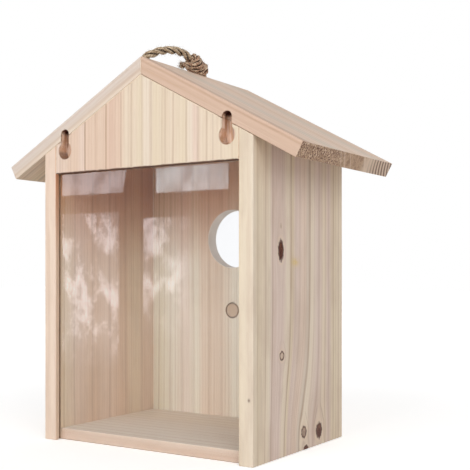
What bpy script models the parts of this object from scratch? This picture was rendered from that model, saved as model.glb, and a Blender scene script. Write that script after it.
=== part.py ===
"""Window nest box: a small gabled house of softwood boards that stands or hangs against a window.

The window side is open below a short gable board and closed by a clear pane, which slides down out of
its grooves for cleaning. The far side has the round entrance and a perch. Two keyholes are routed
across the gable board and the roof ends, and a rope loop is tied over the ridge.

Units are metres, +Z is up, the window side faces -Y, and the origin is the middle of the underside.
"""

import math

import bmesh
import bpy
from mathutils import Matrix, Vector

MM = 0.001

# Body boards
BODY_WIDTH = 150 * MM
BODY_DEPTH = 105 * MM
RIDGE_HEIGHT = 225 * MM
WALL_THICKNESS = 9 * MM
GABLE_THICKNESS = 9 * MM
ENTRANCE_THICKNESS = 9 * MM
FLOOR_THICKNESS = 7 * MM
GABLE_END_HEIGHT = 17 * MM
EDGE_EASE = 0.4 * MM
JOINT_GAP = 0.3 * MM

# Roof boards
ROOF_PITCH = math.radians(28.4)
ROOF_SLOPE = 119 * MM
ROOF_THICKNESS = 9 * MM
ENTRANCE_OVERHANG = 9 * MM

# Sliding pane and its saw grooves
PANE_THICKNESS = 2 * MM
PANE_SETBACK = 3 * MM
PANE_PLAY = 0.3 * MM
PANE_LIFT = 0.5 * MM
PANE_EASE = 0.2 * MM
GROOVE_DEPTH = 4 * MM

# Round entrance and perch
ENTRY_DIAMETER = 38 * MM
ENTRY_HEIGHT = 124 * MM
PERCH_DIAMETER = 10 * MM
PERCH_LENGTH = 50 * MM
PERCH_HEIGHT = 77 * MM
PERCH_ROUNDING = 1.2 * MM
PERCH_CLEARANCE = 0.3 * MM

# Keyholes for two screw heads
KEYHOLE_INSET = 7.5 * MM
KEYHOLE_RISE = 8.2 * MM
KEYHOLE_HEIGHT = 18.2 * MM
KEYHOLE_HEAD = 10.5 * MM
KEYHOLE_SLOT = 6.5 * MM
KEYHOLE_LIP = 3 * MM
KEYHOLE_DEPTH = 7 * MM

# Headless steel pins, set below the surface
PIN_DIAMETER = 1.2 * MM
PIN_LENGTH = 20 * MM
PIN_COVER = 1.5 * MM
PIN_CLEARANCE = 0.3 * MM
PIN_EASE = 0.15 * MM
GABLE_PIN_RISE = 3.8 * MM
WALL_PIN_SHARES = (0.14, 0.5, 0.86)
FLOOR_PIN_SHARES = (0.28, 0.72)
ROOF_PIN_SHARES = (0.18, 0.5, 0.82)
GABLE_TOP_PIN_SHARE = 0.3

# Rope loop, its two holes in the left roof board and its knot
ROPE_DIAMETER = 4.8 * MM
ROPE_HOLE_DIAMETER = 7 * MM
FRONT_ROPE_HOLE = 12.8 * MM
FRONT_ROPE_HOLE_OFFSET = 13 * MM
BACK_ROPE_HOLE = 73 * MM
BACK_ROPE_HOLE_OFFSET = 7.5 * MM
ROPE_POINT_SPACING = 3 * MM
KNOT_POINT_SPACING = 2 * MM
WRAP_TURNS = 3.5
WRAP_POINTS_PER_TURN = 14
WRAP_PITCH = 4.3 * MM
WRAP_RADIUS = 3.85 * MM
WRAP_STRAND_DIAMETER = 4 * MM
WRAP_START = 2.6 * MM
TAIL_DIAMETER = 4.2 * MM

# How far every cutter runs past what it cuts
OVERRUN = 2 * MM

# Sides of round shapes
ENTRY_SIDES = 64
PERCH_SIDES = 32
KEYHOLE_ARC_STEPS = 16
ROPE_HOLE_SIDES = 24
PIN_SIDES = 12
EASE_SEGMENTS = 2
ROUNDING_SEGMENTS = 4
ROPE_BEVEL_RESOLUTION = 3

# Places that follow from the sizes above
WINDOW_FACE = -BODY_DEPTH / 2
ENTRANCE_FACE = BODY_DEPTH / 2
WALL_OUTSIDE = BODY_WIDTH / 2
WALL_INSIDE = WALL_OUTSIDE - WALL_THICKNESS
WALL_MIDDLE = WALL_OUTSIDE - WALL_THICKNESS / 2
BETWEEN_WALLS = WALL_INSIDE - JOINT_GAP
GABLE_MIDDLE = WINDOW_FACE + GABLE_THICKNESS / 2
ENTRANCE_INSIDE = ENTRANCE_FACE - ENTRANCE_THICKNESS
ENTRANCE_MIDDLE = ENTRANCE_FACE - ENTRANCE_THICKNESS / 2
PANE_FRONT = WINDOW_FACE + PANE_SETBACK
PANE_BACK = PANE_FRONT + PANE_THICKNESS
ROOF_GAP_DROP = (ROOF_THICKNESS + JOINT_GAP) / math.cos(ROOF_PITCH)
OPENING_TOP = RIDGE_HEIGHT - BETWEEN_WALLS * math.tan(ROOF_PITCH) - ROOF_GAP_DROP - GABLE_END_HEIGHT
KEYHOLE_CENTRE = WALL_INSIDE - KEYHOLE_INSET
KEYHOLE_BOTTOM = OPENING_TOP + KEYHOLE_RISE
KEYHOLE_HEAD_CENTRE = KEYHOLE_BOTTOM + KEYHOLE_HEAD / 2
KEYHOLE_SLOT_END = KEYHOLE_BOTTOM + KEYHOLE_HEIGHT - KEYHOLE_SLOT / 2
ROPE_HOLES = (
    (FRONT_ROPE_HOLE, FRONT_ROPE_HOLE_OFFSET),
    (BACK_ROPE_HOLE, BACK_ROPE_HOLE_OFFSET),
)
SIDES = (("left", -1), ("right", 1))

# The loop's route in metres from the ridge's window end: sideways, towards the entrance, up.
# It starts under the knot, runs forward below the roof and arches back over the ridge to the knot.
ROPE_ROUTE = (
    (-0.00750, 0.07300, -0.00360),
    (-0.00750, 0.07300, -0.00740),
    (-0.00750, 0.07300, -0.01100),
    (-0.00751, 0.07236, -0.01463),
    (-0.00758, 0.07052, -0.01781),
    (-0.00775, 0.06770, -0.02018),
    (-0.00810, 0.06424, -0.02144),
    (-0.00850, 0.06040, -0.02179),
    (-0.00900, 0.05660, -0.02208),
    (-0.01010, 0.04840, -0.02271),
    (-0.01110, 0.04020, -0.02334),
    (-0.01200, 0.03200, -0.02397),
    (-0.01235, 0.02810, -0.02427),
    (-0.01260, 0.02425, -0.02457),
    (-0.01280, 0.02048, -0.02419),
    (-0.01292, 0.01717, -0.02258),
    (-0.01300, 0.01461, -0.01993),
    (-0.01300, 0.01316, -0.01674),
    (-0.01300, 0.01280, -0.01240),
    (-0.01300, 0.01280, -0.00820),
    (-0.01280, 0.01290, -0.00410),
    (-0.01190, 0.01380, -0.00010),
    (-0.01020, 0.01560, 0.00300),
    (-0.00830, 0.01810, 0.00540),
    (-0.00640, 0.02150, 0.00740),
    (-0.00470, 0.02600, 0.00920),
    (-0.00330, 0.03100, 0.01040),
    (-0.00230, 0.03580, 0.01100),
    (-0.00160, 0.04020, 0.01090),
    (-0.00120, 0.04440, 0.01020),
    (-0.00120, 0.04840, 0.00900),
)

# The rope inside the knot, from the loop's upper end down to the back hole.
KNOT_CORE_ROUTE = (
    (-0.0012, 0.0487, 0.0089),
    (-0.0018, 0.0534, 0.0071),
    (-0.0029, 0.0582, 0.0057),
    (-0.0039, 0.0626, 0.0051),
    (-0.0049, 0.0666, 0.0044),
    (-0.0061, 0.0701, 0.0029),
    (-0.0072, 0.0723, 0.0001),
    (-0.0075, 0.0730, -0.0020),
    (-0.0075, 0.0730, -0.0033),
)

# The rope's cut end, which lies forward along the ridge.
KNOT_TAIL_ROUTE = (
    (-0.0016, 0.0570, 0.0056),
    (-0.0013, 0.0520, 0.0051),
    (-0.0010, 0.0474, 0.0041),
    (-0.0009, 0.0434, 0.0032),
    (-0.0008, 0.0406, 0.0030),
)


def clear_scene():
    """Removes what a new file holds."""
    for item in list(bpy.data.objects):
        bpy.data.objects.remove(item, do_unlink=True)


def collection(name):
    """A collection of that name in the scene."""
    made = bpy.data.collections.get(name) or bpy.data.collections.new(name)
    if made.name not in bpy.context.scene.collection.children:
        bpy.context.scene.collection.children.link(made)
    return made


def finish(name, color, roughness, metallic=0.0, alpha=1.0, transmission=0.0):
    """A Principled material with the piece's colour, roughness and metallic value."""
    material = bpy.data.materials.new(name)
    material.use_nodes = True
    shader = material.node_tree.nodes["Principled BSDF"]
    shader.inputs["Base Color"].default_value = (*color, 1.0)
    shader.inputs["Roughness"].default_value = roughness
    shader.inputs["Metallic"].default_value = metallic
    shader.inputs["Alpha"].default_value = alpha
    shader.inputs["Transmission Weight"].default_value = transmission
    return material


def add(name, mesh, material, place=(0, 0, 0)):
    """Puts a finished mesh into the scene as a named piece."""
    piece = bpy.data.objects.new(name, mesh)
    piece.location = place
    mesh.materials.append(material)
    collection("nest_box").objects.link(piece)
    return piece


def add_cutter(name, mesh):
    """Puts a mesh into the scene as a guide that other pieces are cut or joined with."""
    guide = bpy.data.objects.new(name, mesh)
    guide.hide_render = True
    guide.display_type = "WIRE"
    collection("cutters").objects.link(guide)
    return guide


def combine(piece, guide, operation="DIFFERENCE"):
    """Cuts a piece with a guide, or joins the guide to it."""
    step = piece.modifiers.new(f"{operation.lower()}_{guide.name}", "BOOLEAN")
    step.operation = operation
    step.solver = "EXACT"
    step.object = guide


def ease_edges(piece, width, segments=EASE_SEGMENTS):
    """Takes the sharpness off every edge of a piece."""
    step = piece.modifiers.new("eased_edges", "BEVEL")
    step.width = width
    step.segments = segments
    step.limit_method = "ANGLE"
    step.angle_limit = math.radians(30)


def shade_round(mesh):
    """Smooth shading with the sharp rims kept."""
    mesh.shade_smooth()
    mesh.set_sharp_from_angle(angle=math.radians(35))


def into_mesh(name, shape):
    """Turns a bmesh into a mesh with its faces pointing out."""
    bmesh.ops.recalc_face_normals(shape, faces=shape.faces)
    mesh = bpy.data.meshes.new(name)
    shape.to_mesh(mesh)
    shape.free()
    return mesh


def extruded(name, outline, near, far):
    """A solid with an outline in X and Z, drawn at Y = near and extruded to Y = far."""
    shape = bmesh.new()
    face = shape.faces.new([shape.verts.new((x, near, z)) for x, z in outline])
    grown = bmesh.ops.extrude_face_region(shape, geom=[face])
    moved = [part for part in grown["geom"] if isinstance(part, bmesh.types.BMVert)]
    bmesh.ops.translate(shape, verts=moved, vec=(0, far - near, 0))
    return into_mesh(name, shape)


def block(name, low, high):
    """A rectangular solid between two corners."""
    outline = ((low[0], low[2]), (high[0], low[2]), (high[0], high[2]), (low[0], high[2]))
    return extruded(name, outline, low[1], high[1])


def rods(name, radius, sides, spans):
    """Round rods in one mesh, one for each pair of end points."""
    shape = bmesh.new()
    for start, end in spans:
        run = Vector(end) - Vector(start)
        turn = run.to_track_quat("Z", "Y").to_matrix().to_4x4()
        bmesh.ops.create_cone(
            shape,
            cap_ends=True,
            segments=sides,
            radius1=radius,
            radius2=radius,
            depth=run.length,
            matrix=Matrix.Translation((Vector(start) + Vector(end)) / 2) @ turn,
        )
    return into_mesh(name, shape)


def arc(centre_x, centre_z, radius, start, end, steps):
    """Points along an arc in X and Z, from one angle in degrees to another."""
    angles = [math.radians(start + (end - start) * step / steps) for step in range(steps + 1)]
    return [(centre_x + radius * math.cos(a), centre_z + radius * math.sin(a)) for a in angles]


def roof_top(x):
    """Height of the roof's outer face at a distance from the ridge line."""
    return RIDGE_HEIGHT - abs(x) * math.tan(ROOF_PITCH)


def under_roof(x, gap=JOINT_GAP):
    """Height just below the roof boards, with a gap measured square to the slope."""
    return roof_top(x) - (ROOF_THICKNESS + gap) / math.cos(ROOF_PITCH)


def side_wall(name, side, wood):
    """A side wall: vertical board, top bevelled to the roof, saw groove for the pane."""
    outline = (
        (side * WALL_OUTSIDE, 0),
        (side * WALL_OUTSIDE, under_roof(WALL_OUTSIDE)),
        (side * WALL_INSIDE, under_roof(WALL_INSIDE)),
        (side * WALL_INSIDE, 0),
    )
    wall = add(f"{name}_wall", extruded(f"{name}_wall", outline, WINDOW_FACE, ENTRANCE_FACE), wood)
    ease_edges(wall, EDGE_EASE)
    across = sorted((side * (WALL_INSIDE - OVERRUN), side * (WALL_INSIDE + GROOVE_DEPTH)))
    groove = block(
        f"{name}_groove",
        (across[0], PANE_FRONT - PANE_PLAY, -OVERRUN),
        (across[1], PANE_BACK + PANE_PLAY, RIDGE_HEIGHT),
    )
    combine(wall, add_cutter(f"{name}_groove", groove))
    return wall


def gable_outline(bottom):
    """The outline of a board between the walls whose top follows the roof."""
    edge_top = under_roof(BETWEEN_WALLS)
    return (
        (-BETWEEN_WALLS, bottom),
        (BETWEEN_WALLS, bottom),
        (BETWEEN_WALLS, edge_top),
        (0, under_roof(0)),
        (-BETWEEN_WALLS, edge_top),
    )


def gable_board(wood):
    """The short board above the window."""
    outline = gable_outline(OPENING_TOP)
    mesh = extruded("gable_board", outline, WINDOW_FACE, WINDOW_FACE + GABLE_THICKNESS)
    board = add("gable_board", mesh, wood)
    ease_edges(board, EDGE_EASE)
    return board


def entrance_wall(wood):
    """The far wall, bored for the entrance and the perch."""
    mesh = extruded("entrance_wall", gable_outline(0), ENTRANCE_INSIDE, ENTRANCE_FACE)
    board = add("entrance_wall", mesh, wood)
    ease_edges(board, EDGE_EASE)
    near, far = ENTRANCE_INSIDE - OVERRUN, ENTRANCE_FACE + OVERRUN
    bores = (
        ("entry_bore", ENTRY_DIAMETER / 2, ENTRY_SIDES, ENTRY_HEIGHT),
        ("perch_bore", PERCH_DIAMETER / 2 + PERCH_CLEARANCE, PERCH_SIDES, PERCH_HEIGHT),
    )
    for name, radius, sides, height in bores:
        span = ((0, near, height), (0, far, height))
        combine(board, add_cutter(name, rods(name, radius, sides, [span])))
    return board


def floor_board(wood):
    """The floor, which fills the space between the pane and the far wall."""
    low = (-BETWEEN_WALLS, PANE_BACK + PANE_PLAY, 0)
    high = (BETWEEN_WALLS, ENTRANCE_INSIDE - JOINT_GAP, FLOOR_THICKNESS)
    board = add("floor_board", block("floor_board", low, high), wood)
    ease_edges(board, EDGE_EASE)
    return board


def window_pane(clear):
    """The clear pane, with its origin at the middle of its lower edge, which it slides along."""
    half_width = WALL_INSIDE + GROOVE_DEPTH - PANE_PLAY
    height = OPENING_TOP - JOINT_GAP - PANE_LIFT
    mesh = block("window_pane", (-half_width, 0, 0), (half_width, PANE_THICKNESS, height))
    pane = add("window_pane", mesh, clear, (0, PANE_FRONT, PANE_LIFT))
    ease_edges(pane, PANE_EASE)
    return pane


def roof_board(name, side, wood):
    """A roof board: mitred upright at the ridge and cut square at the eave."""
    run, drop = math.cos(ROOF_PITCH), math.sin(ROOF_PITCH)
    seam = JOINT_GAP / 2
    eave_x, eave_z = ROOF_SLOPE * run, RIDGE_HEIGHT - ROOF_SLOPE * drop
    outline = (
        (side * seam, roof_top(seam)),
        (side * eave_x, eave_z),
        (side * (eave_x - ROOF_THICKNESS * drop), eave_z - ROOF_THICKNESS * run),
        (side * seam, under_roof(seam, gap=0)),
    )
    mesh = extruded(f"roof_board_{name}", outline, WINDOW_FACE, ENTRANCE_FACE + ENTRANCE_OVERHANG)
    board = add(f"roof_board_{name}", mesh, wood)
    ease_edges(board, EDGE_EASE)
    return board


def keyhole_mouth(centre):
    """The keyhole as it shows on the face: a round head with a narrower slot above it."""
    head, slot = KEYHOLE_HEAD / 2, KEYHOLE_SLOT / 2
    meet = math.degrees(math.acos(slot / head))
    lower = arc(centre, KEYHOLE_HEAD_CENTRE, head, meet, -180 - meet, 2 * KEYHOLE_ARC_STEPS)
    upper = arc(centre, KEYHOLE_SLOT_END, slot, 180, 0, KEYHOLE_ARC_STEPS)
    return lower + upper


def keyhole_undercut(centre):
    """The wider channel that a screw's head slides up behind the lip."""
    radius = KEYHOLE_HEAD / 2
    lower = arc(centre, KEYHOLE_HEAD_CENTRE, radius, 0, -180, KEYHOLE_ARC_STEPS)
    upper = arc(centre, KEYHOLE_SLOT_END, radius, 180, 0, KEYHOLE_ARC_STEPS)
    return lower + upper


def cut_keyholes(gable, roof_boards):
    """Routes both keyholes across the gable board and the roof board above each."""
    for name, side in SIDES:
        centre = side * KEYHOLE_CENTRE
        front, lip = WINDOW_FACE - OVERRUN, WINDOW_FACE + KEYHOLE_LIP
        depth = WINDOW_FACE + KEYHOLE_DEPTH
        mouth = extruded(f"{name}_keyhole_mouth", keyhole_mouth(centre), front, (lip + depth) / 2)
        undercut = extruded(f"{name}_keyhole_undercut", keyhole_undercut(centre), lip, depth)
        for mesh in (mouth, undercut):
            guide = add_cutter(mesh.name, mesh)
            combine(gable, guide)
            combine(roof_boards[name], guide)


def cut_rope_holes(board):
    """Bores the two upright rope holes in the left roof board."""
    spans = []
    for along, offset in ROPE_HOLES:
        low, high = under_roof(offset + ROPE_HOLE_DIAMETER) - OVERRUN, RIDGE_HEIGHT + OVERRUN
        spans.append(((-offset, WINDOW_FACE + along, low), (-offset, WINDOW_FACE + along, high)))
    mesh = rods("rope_holes", ROPE_HOLE_DIAMETER / 2, ROPE_HOLE_SIDES, spans)
    combine(board, add_cutter("rope_holes", mesh))


def perch_dowel(wood):
    """The turned perch, flush inside the entrance wall and rounded at both ends."""
    mesh = rods("perch_dowel", PERCH_DIAMETER / 2, PERCH_SIDES, [((0, 0, 0), (0, PERCH_LENGTH, 0))])
    perch = add("perch_dowel", mesh, wood, (0, ENTRANCE_INSIDE, PERCH_HEIGHT))
    ease_edges(perch, PERCH_ROUNDING, ROUNDING_SEGMENTS)
    shade_round(perch.data)
    return perch


def pin_plan(pieces):
    """Where each pin starts and runs, and the two boards that it holds together."""
    plan = []
    gable, entrance = pieces["gable_board"], pieces["entrance_wall"]
    for name, side in SIDES:
        wall, roof = pieces[f"{name}_wall"], pieces[f"roof_board_{name}"]
        start_x, inward, down = side * (WALL_OUTSIDE - PIN_COVER), (-side, 0, 0), (0, 0, -1)
        place = (start_x, GABLE_MIDDLE, OPENING_TOP + GABLE_PIN_RISE)
        plan.append((f"pin_{name}_gable", place, inward, (wall, gable)))
        for number, share in enumerate(WALL_PIN_SHARES, 1):
            place = (start_x, ENTRANCE_MIDDLE, share * under_roof(WALL_OUTSIDE))
            plan.append((f"pin_{name}_entrance_{number}", place, inward, (wall, entrance)))
        for number, share in enumerate(FLOOR_PIN_SHARES, 1):
            place = (start_x, WINDOW_FACE + share * BODY_DEPTH, FLOOR_THICKNESS / 2)
            plan.append((f"pin_{name}_floor_{number}", place, inward, (wall, pieces["floor_board"])))
        wall_x, top_x = side * WALL_MIDDLE, side * GABLE_TOP_PIN_SHARE * WALL_INSIDE
        for number, share in enumerate(ROOF_PIN_SHARES, 1):
            place = (wall_x, WINDOW_FACE + share * BODY_DEPTH, roof_top(wall_x) - PIN_COVER)
            plan.append((f"pin_{name}_roof_{number}", place, down, (roof, wall)))
        for board, y in ((gable, GABLE_MIDDLE), (entrance, ENTRANCE_MIDDLE)):
            place = (top_x, y, roof_top(top_x) - PIN_COVER)
            plan.append((f"pin_{name}_{board.name}_top", place, down, (roof, board)))
    return plan


def add_pins(pieces, steel):
    """Drives the headless pins and bores each board for the pins that pass into it."""
    bores = {}
    for name, start, direction, boards in pin_plan(pieces):
        start, direction = Vector(start), Vector(direction)
        mesh = rods(name, PIN_DIAMETER / 2, PIN_SIDES, [((0, 0, 0), direction * PIN_LENGTH)])
        pin = add(name, mesh, steel, start)
        ease_edges(pin, PIN_EASE, 1)
        shade_round(pin.data)
        margin = direction * PIN_CLEARANCE
        for board in boards:
            bores.setdefault(board, []).append((start - margin, start + direction * PIN_LENGTH + margin))
    for board, spans in bores.items():
        mesh = rods(f"{board.name}_pin_bores", PIN_DIAMETER / 2 + PIN_CLEARANCE, PIN_SIDES, spans)
        combine(board, add_cutter(mesh.name, mesh))


def smooth_route(points, spacing):
    """Points at an even spacing along the smooth curve through a route's own points.

    Each stretch is a Catmull-Rom cubic, whose slope at a point follows that point's neighbours.
    """
    placed = [Vector((x, WINDOW_FACE + y, RIDGE_HEIGHT + z)) for x, y, z in points]
    ends = [2 * placed[0] - placed[1], *placed, 2 * placed[-1] - placed[-2]]
    fine = [placed[0]]
    steps = 24
    for before, start, end, after in zip(ends, ends[1:], ends[2:], ends[3:]):
        for step in range(1, steps + 1):
            t = step / steps
            bend = 2 * before - 5 * start + 4 * end - after
            rest = 3 * start - before - 3 * end + after
            fine.append((2 * start + (end - before) * t + bend * t**2 + rest * t**3) / 2)
    travelled = [0.0]
    for start, end in zip(fine, fine[1:]):
        travelled.append(travelled[-1] + (end - start).length)
    count = max(2, round(travelled[-1] / spacing))
    route, at = [fine[0]], 1
    for number in range(1, count):
        goal = travelled[-1] * number / count
        while travelled[at] < goal:
            at += 1
        share = (goal - travelled[at - 1]) / (travelled[at] - travelled[at - 1])
        route.append(fine[at - 1].lerp(fine[at], share))
    return [*route, fine[-1]]


def tube_curve(name, points, diameter):
    """A round tube with filled ends along points."""
    curve = bpy.data.curves.new(name, "CURVE")
    curve.dimensions = "3D"
    curve.bevel_depth = diameter / 2
    curve.bevel_resolution = ROPE_BEVEL_RESOLUTION
    curve.use_fill_caps = True
    line = curve.splines.new("POLY")
    line.points.add(len(points) - 1)
    for point, place in zip(line.points, points):
        point.co = (*place, 1)
    return curve


def tube_mesh(name, points, diameter):
    """The same tube as a mesh."""
    maker = bpy.data.objects.new(name, tube_curve(name, points, diameter))
    mesh = bpy.data.meshes.new_from_object(maker)
    mesh.name = name
    bpy.data.objects.remove(maker, do_unlink=True)
    shade_round(mesh)
    return mesh


def rope_handle(jute):
    """The rope loop, from under the knot, below the roof and back over the ridge."""
    route = smooth_route(ROPE_ROUTE, ROPE_POINT_SPACING)
    length = sum((end - start).length for start, end in zip(route, route[1:]))
    print(f"rope_handle: {len(route)} points, {length:.4f} m long")
    return add("rope_handle", tube_curve("rope_handle", route, ROPE_DIAMETER), jute)


def knot_wraps(core):
    """Points of the strand wound round the knot's core, a helix carried along it."""
    along = [0.0]
    for start, end in zip(core, core[1:]):
        along.append(along[-1] + (end - start).length)
    points, at = [], 1
    count = round(WRAP_TURNS * WRAP_POINTS_PER_TURN)
    for number in range(count + 1):
        turn = number / WRAP_POINTS_PER_TURN
        goal = WRAP_START + WRAP_PITCH * turn
        while at < len(along) - 1 and along[at] < goal:
            at += 1
        share = (goal - along[at - 1]) / (along[at] - along[at - 1])
        centre = core[at - 1].lerp(core[at], share)
        forward = (core[at] - core[at - 1]).normalized()
        sideways = forward.cross(Vector((0, 0, 1))).normalized()
        upward = sideways.cross(forward)
        angle = 2 * math.pi * turn - math.pi / 2
        points.append(centre + WRAP_RADIUS * (math.cos(angle) * sideways + math.sin(angle) * upward))
    return points


def rope_knot(jute):
    """The knot on the ridge: the loop's two ends under a wound strand, and the cut end."""
    core = smooth_route(KNOT_CORE_ROUTE, KNOT_POINT_SPACING)
    tail = smooth_route(KNOT_TAIL_ROUTE, KNOT_POINT_SPACING)
    knot = add("rope_knot", tube_mesh("rope_knot", core, ROPE_DIAMETER), jute)
    strands = (
        ("knot_wraps", knot_wraps(core), WRAP_STRAND_DIAMETER),
        ("knot_tail", tail, TAIL_DIAMETER),
    )
    for name, points, diameter in strands:
        combine(knot, add_cutter(name, tube_mesh(name, points, diameter)), "UNION")
    return knot


def build():
    """Makes every piece in the order of assembly."""
    clear_scene()
    wood = finish("pale_softwood", (0.72, 0.56, 0.40), 0.62)
    dowel = finish("turned_dowel", (0.70, 0.55, 0.38), 0.55)
    clear = finish("clear_acrylic", (0.92, 0.96, 0.96), 0.04, alpha=0.25, transmission=1.0)
    jute = finish("twisted_jute", (0.42, 0.30, 0.19), 0.9)
    steel = finish("pin_steel", (0.55, 0.55, 0.56), 0.35, metallic=1.0)
    pieces = {
        "gable_board": gable_board(wood),
        "entrance_wall": entrance_wall(wood),
        "floor_board": floor_board(wood),
    }
    for name, side in SIDES:
        pieces[f"{name}_wall"] = side_wall(name, side, wood)
        pieces[f"roof_board_{name}"] = roof_board(name, side, wood)
    cut_keyholes(pieces["gable_board"], {name: pieces[f"roof_board_{name}"] for name, side in SIDES})
    cut_rope_holes(pieces["roof_board_left"])
    add_pins(pieces, steel)
    window_pane(clear)
    perch_dowel(dowel)
    rope_handle(jute)
    rope_knot(jute)


build()
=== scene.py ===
# %% [markdown]
# # A window nest box in raw softwood
#
# This lesson dresses a small gabled box of 9 mm boards: pale planed softwood, a clear pane that
# slides in saw grooves, a turned perch and a loop of twisted jute. The boards, the pane, the perch
# and the pins are already true to size, so they keep their meshes and get a finish. The rope, its
# knot and loose fibres, the glue in the joints and the wall with the loose knot are new meshes.
#
# The packed model comes in first and stays where it is.

# %% Load the model
import math

import bmesh
import bpy
import numpy as np
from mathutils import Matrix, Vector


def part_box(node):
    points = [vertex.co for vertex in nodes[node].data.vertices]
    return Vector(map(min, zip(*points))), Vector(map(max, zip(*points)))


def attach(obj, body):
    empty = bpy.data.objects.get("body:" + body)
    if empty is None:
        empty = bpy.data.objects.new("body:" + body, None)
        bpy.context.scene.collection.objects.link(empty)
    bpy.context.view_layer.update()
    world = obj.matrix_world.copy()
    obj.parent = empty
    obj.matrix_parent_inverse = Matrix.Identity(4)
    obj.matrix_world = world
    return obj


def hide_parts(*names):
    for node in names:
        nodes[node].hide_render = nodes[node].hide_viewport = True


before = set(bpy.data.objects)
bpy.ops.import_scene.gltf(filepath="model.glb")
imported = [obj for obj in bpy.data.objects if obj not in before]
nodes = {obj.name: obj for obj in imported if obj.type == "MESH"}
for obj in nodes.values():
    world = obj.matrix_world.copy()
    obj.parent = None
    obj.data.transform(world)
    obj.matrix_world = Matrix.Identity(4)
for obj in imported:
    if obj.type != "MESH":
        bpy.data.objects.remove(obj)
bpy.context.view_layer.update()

MM = 0.001

# %% [markdown]
# ## Places that the finishes refer to
#
# A board's finish has to know where the board begins, so the faces of the box are read from the
# model and not typed again. Only what no box can tell is typed: the roof's pitch and thickness, and
# the round entrance. The window side faces -Y and the entrance side +Y.

# %% Read the faces of the box
def box_in_mm(node_name):
    """A node's lowest and highest corners in millimetres."""
    return [np.array(corner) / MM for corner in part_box(node_name)]


wall_low, wall_high = box_in_mm("right_wall")
gable_low, gable_high = box_in_mm("gable_board")
floor_low, floor_high = box_in_mm("floor_board")
roof_low, roof_high = box_in_mm("roof_board_right")
pane_low, pane_high = box_in_mm("window_pane")
perch_low, perch_high = box_in_mm("perch_dowel")
entrance_low = box_in_mm("entrance_wall")[0]

WINDOW_FACE = wall_low[1]
ENTRANCE_FACE = wall_high[1]
WALL_OUTSIDE = wall_high[0]
WALL_INSIDE = wall_low[0]
RIDGE_HEIGHT = roof_high[2]
ROOF_PITCH = math.radians(28.4)
ROOF_THICKNESS = 9.0
ENTRANCE_HEIGHT = 124.0
ENTRANCE_RADIUS = 19.0
print("window face", round(WINDOW_FACE, 2), "wall", WALL_INSIDE, WALL_OUTSIDE, "ridge", RIDGE_HEIGHT)

# %% [markdown]
# ## Camera
#
# The view is level, a little to the right of the window side and at the height of the lower third.
# A level camera keeps the uprights parallel. The frame is shifted up a little instead of tilting
# the camera, as an architectural photographer does.

# %% Set up the camera
CAMERA_PLACE = (0.31983, -0.44837, 0.10273)
CAMERA_YAW = math.radians(32.897)
CAMERA_LENS = 68.287
CAMERA_RISE = 0.07704


def add_camera():
    """A level camera that looks towards (-sin yaw, cos yaw, 0)."""
    lens = bpy.data.cameras.new("view")
    lens.lens = CAMERA_LENS
    lens.shift_y = CAMERA_RISE
    camera = bpy.data.objects.new("view", lens)
    camera.location = CAMERA_PLACE
    camera.rotation_euler = (math.radians(90), 0, CAMERA_YAW)
    bpy.context.scene.collection.objects.link(camera)
    bpy.context.scene.camera = camera


add_camera()
bpy.context.scene.view_settings.view_transform = "Standard"
print("camera at", CAMERA_PLACE, "turned", round(math.degrees(CAMERA_YAW), 1))

# %% [markdown]
# ## Numbers that vary over a surface
#
# Wood is drawn with sums of distances and noises. Built by hand, each sum is a chain of Math nodes.
# A small class that stands for "a number that varies over the surface" lets the finishes be
# written as ordinary sums, and every plus or times adds its own node.

# %% Sums of node outputs
class Field:
    """A number that varies over a surface: a node's output that can be used in sums."""

    def __init__(self, tree, socket):
        self.tree = tree
        self.socket = socket

    def math(self, operation, *values):
        """A Math node on the given values, which are fields or plain numbers."""
        node = self.tree.nodes.new("ShaderNodeMath")
        node.operation = operation
        for socket, value in zip(node.inputs, values):
            feed(self.tree, socket, value)
        return Field(self.tree, node.outputs[0])

    def __add__(self, other):
        return self.math("ADD", self, other)

    def __sub__(self, other):
        return self.math("SUBTRACT", self, other)

    def __rsub__(self, other):
        return self.math("SUBTRACT", other, self)

    def __mul__(self, other):
        return self.math("MULTIPLY", self, other)

    def __truediv__(self, other):
        return self.math("DIVIDE", self, other)

    def __abs__(self):
        return self.math("ABSOLUTE", self)

    def fraction(self):
        """What is left of the number after its whole part."""
        return self.math("FRACT", self)

    def root(self):
        """The square root."""
        return self.math("SQRT", self)

    def most(self, other):
        """The larger of two numbers."""
        return self.math("MAXIMUM", self, other)

    def fade(self):
        """exp(-number): 1 at zero, falling towards 0."""
        return self.math("EXPONENT", 0 - self)

    def fall(self, start, end):
        """Falls smoothly from 1 to 0 while the number goes from start to end."""
        return self.step(start, end, 1.0, 0.0)

    def step(self, start, end, low=0.0, high=1.0):
        """Rises smoothly from low to high while the number goes from start to end."""
        node = self.tree.nodes.new("ShaderNodeMapRange")
        node.interpolation_type = "SMOOTHSTEP"
        for name, value in (("From Min", start), ("From Max", end), ("To Min", low), ("To Max", high)):
            node.inputs[name].default_value = value
        feed(self.tree, node.inputs["Value"], self)
        return Field(self.tree, node.outputs["Result"])

    def peak(self, centre, reach):
        """1 at a centre, falling smoothly to 0 at a distance of reach on both sides."""
        return abs(self - centre).fall(0.0, reach)

    def within(self, low, high, soft):
        """1 between two values, with edges that are soft over a given distance."""
        return self.step(low - soft, low) * self.fall(high, high + soft)


def distance(side, up):
    """How far a place is from a centre: the root of the sum of the squares of both steps."""
    return (side * side + up * up).root()


def feed(tree, socket, value):
    """Links a field or a node's output to an input, or sets a plain value on it."""
    if isinstance(value, Field):
        value = value.socket
    if isinstance(value, bpy.types.NodeSocket):
        tree.links.new(value, socket)
    else:
        socket.default_value = value


print("a field knows:", ", ".join(name for name, item in vars(Field).items() if callable(item)))

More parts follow.
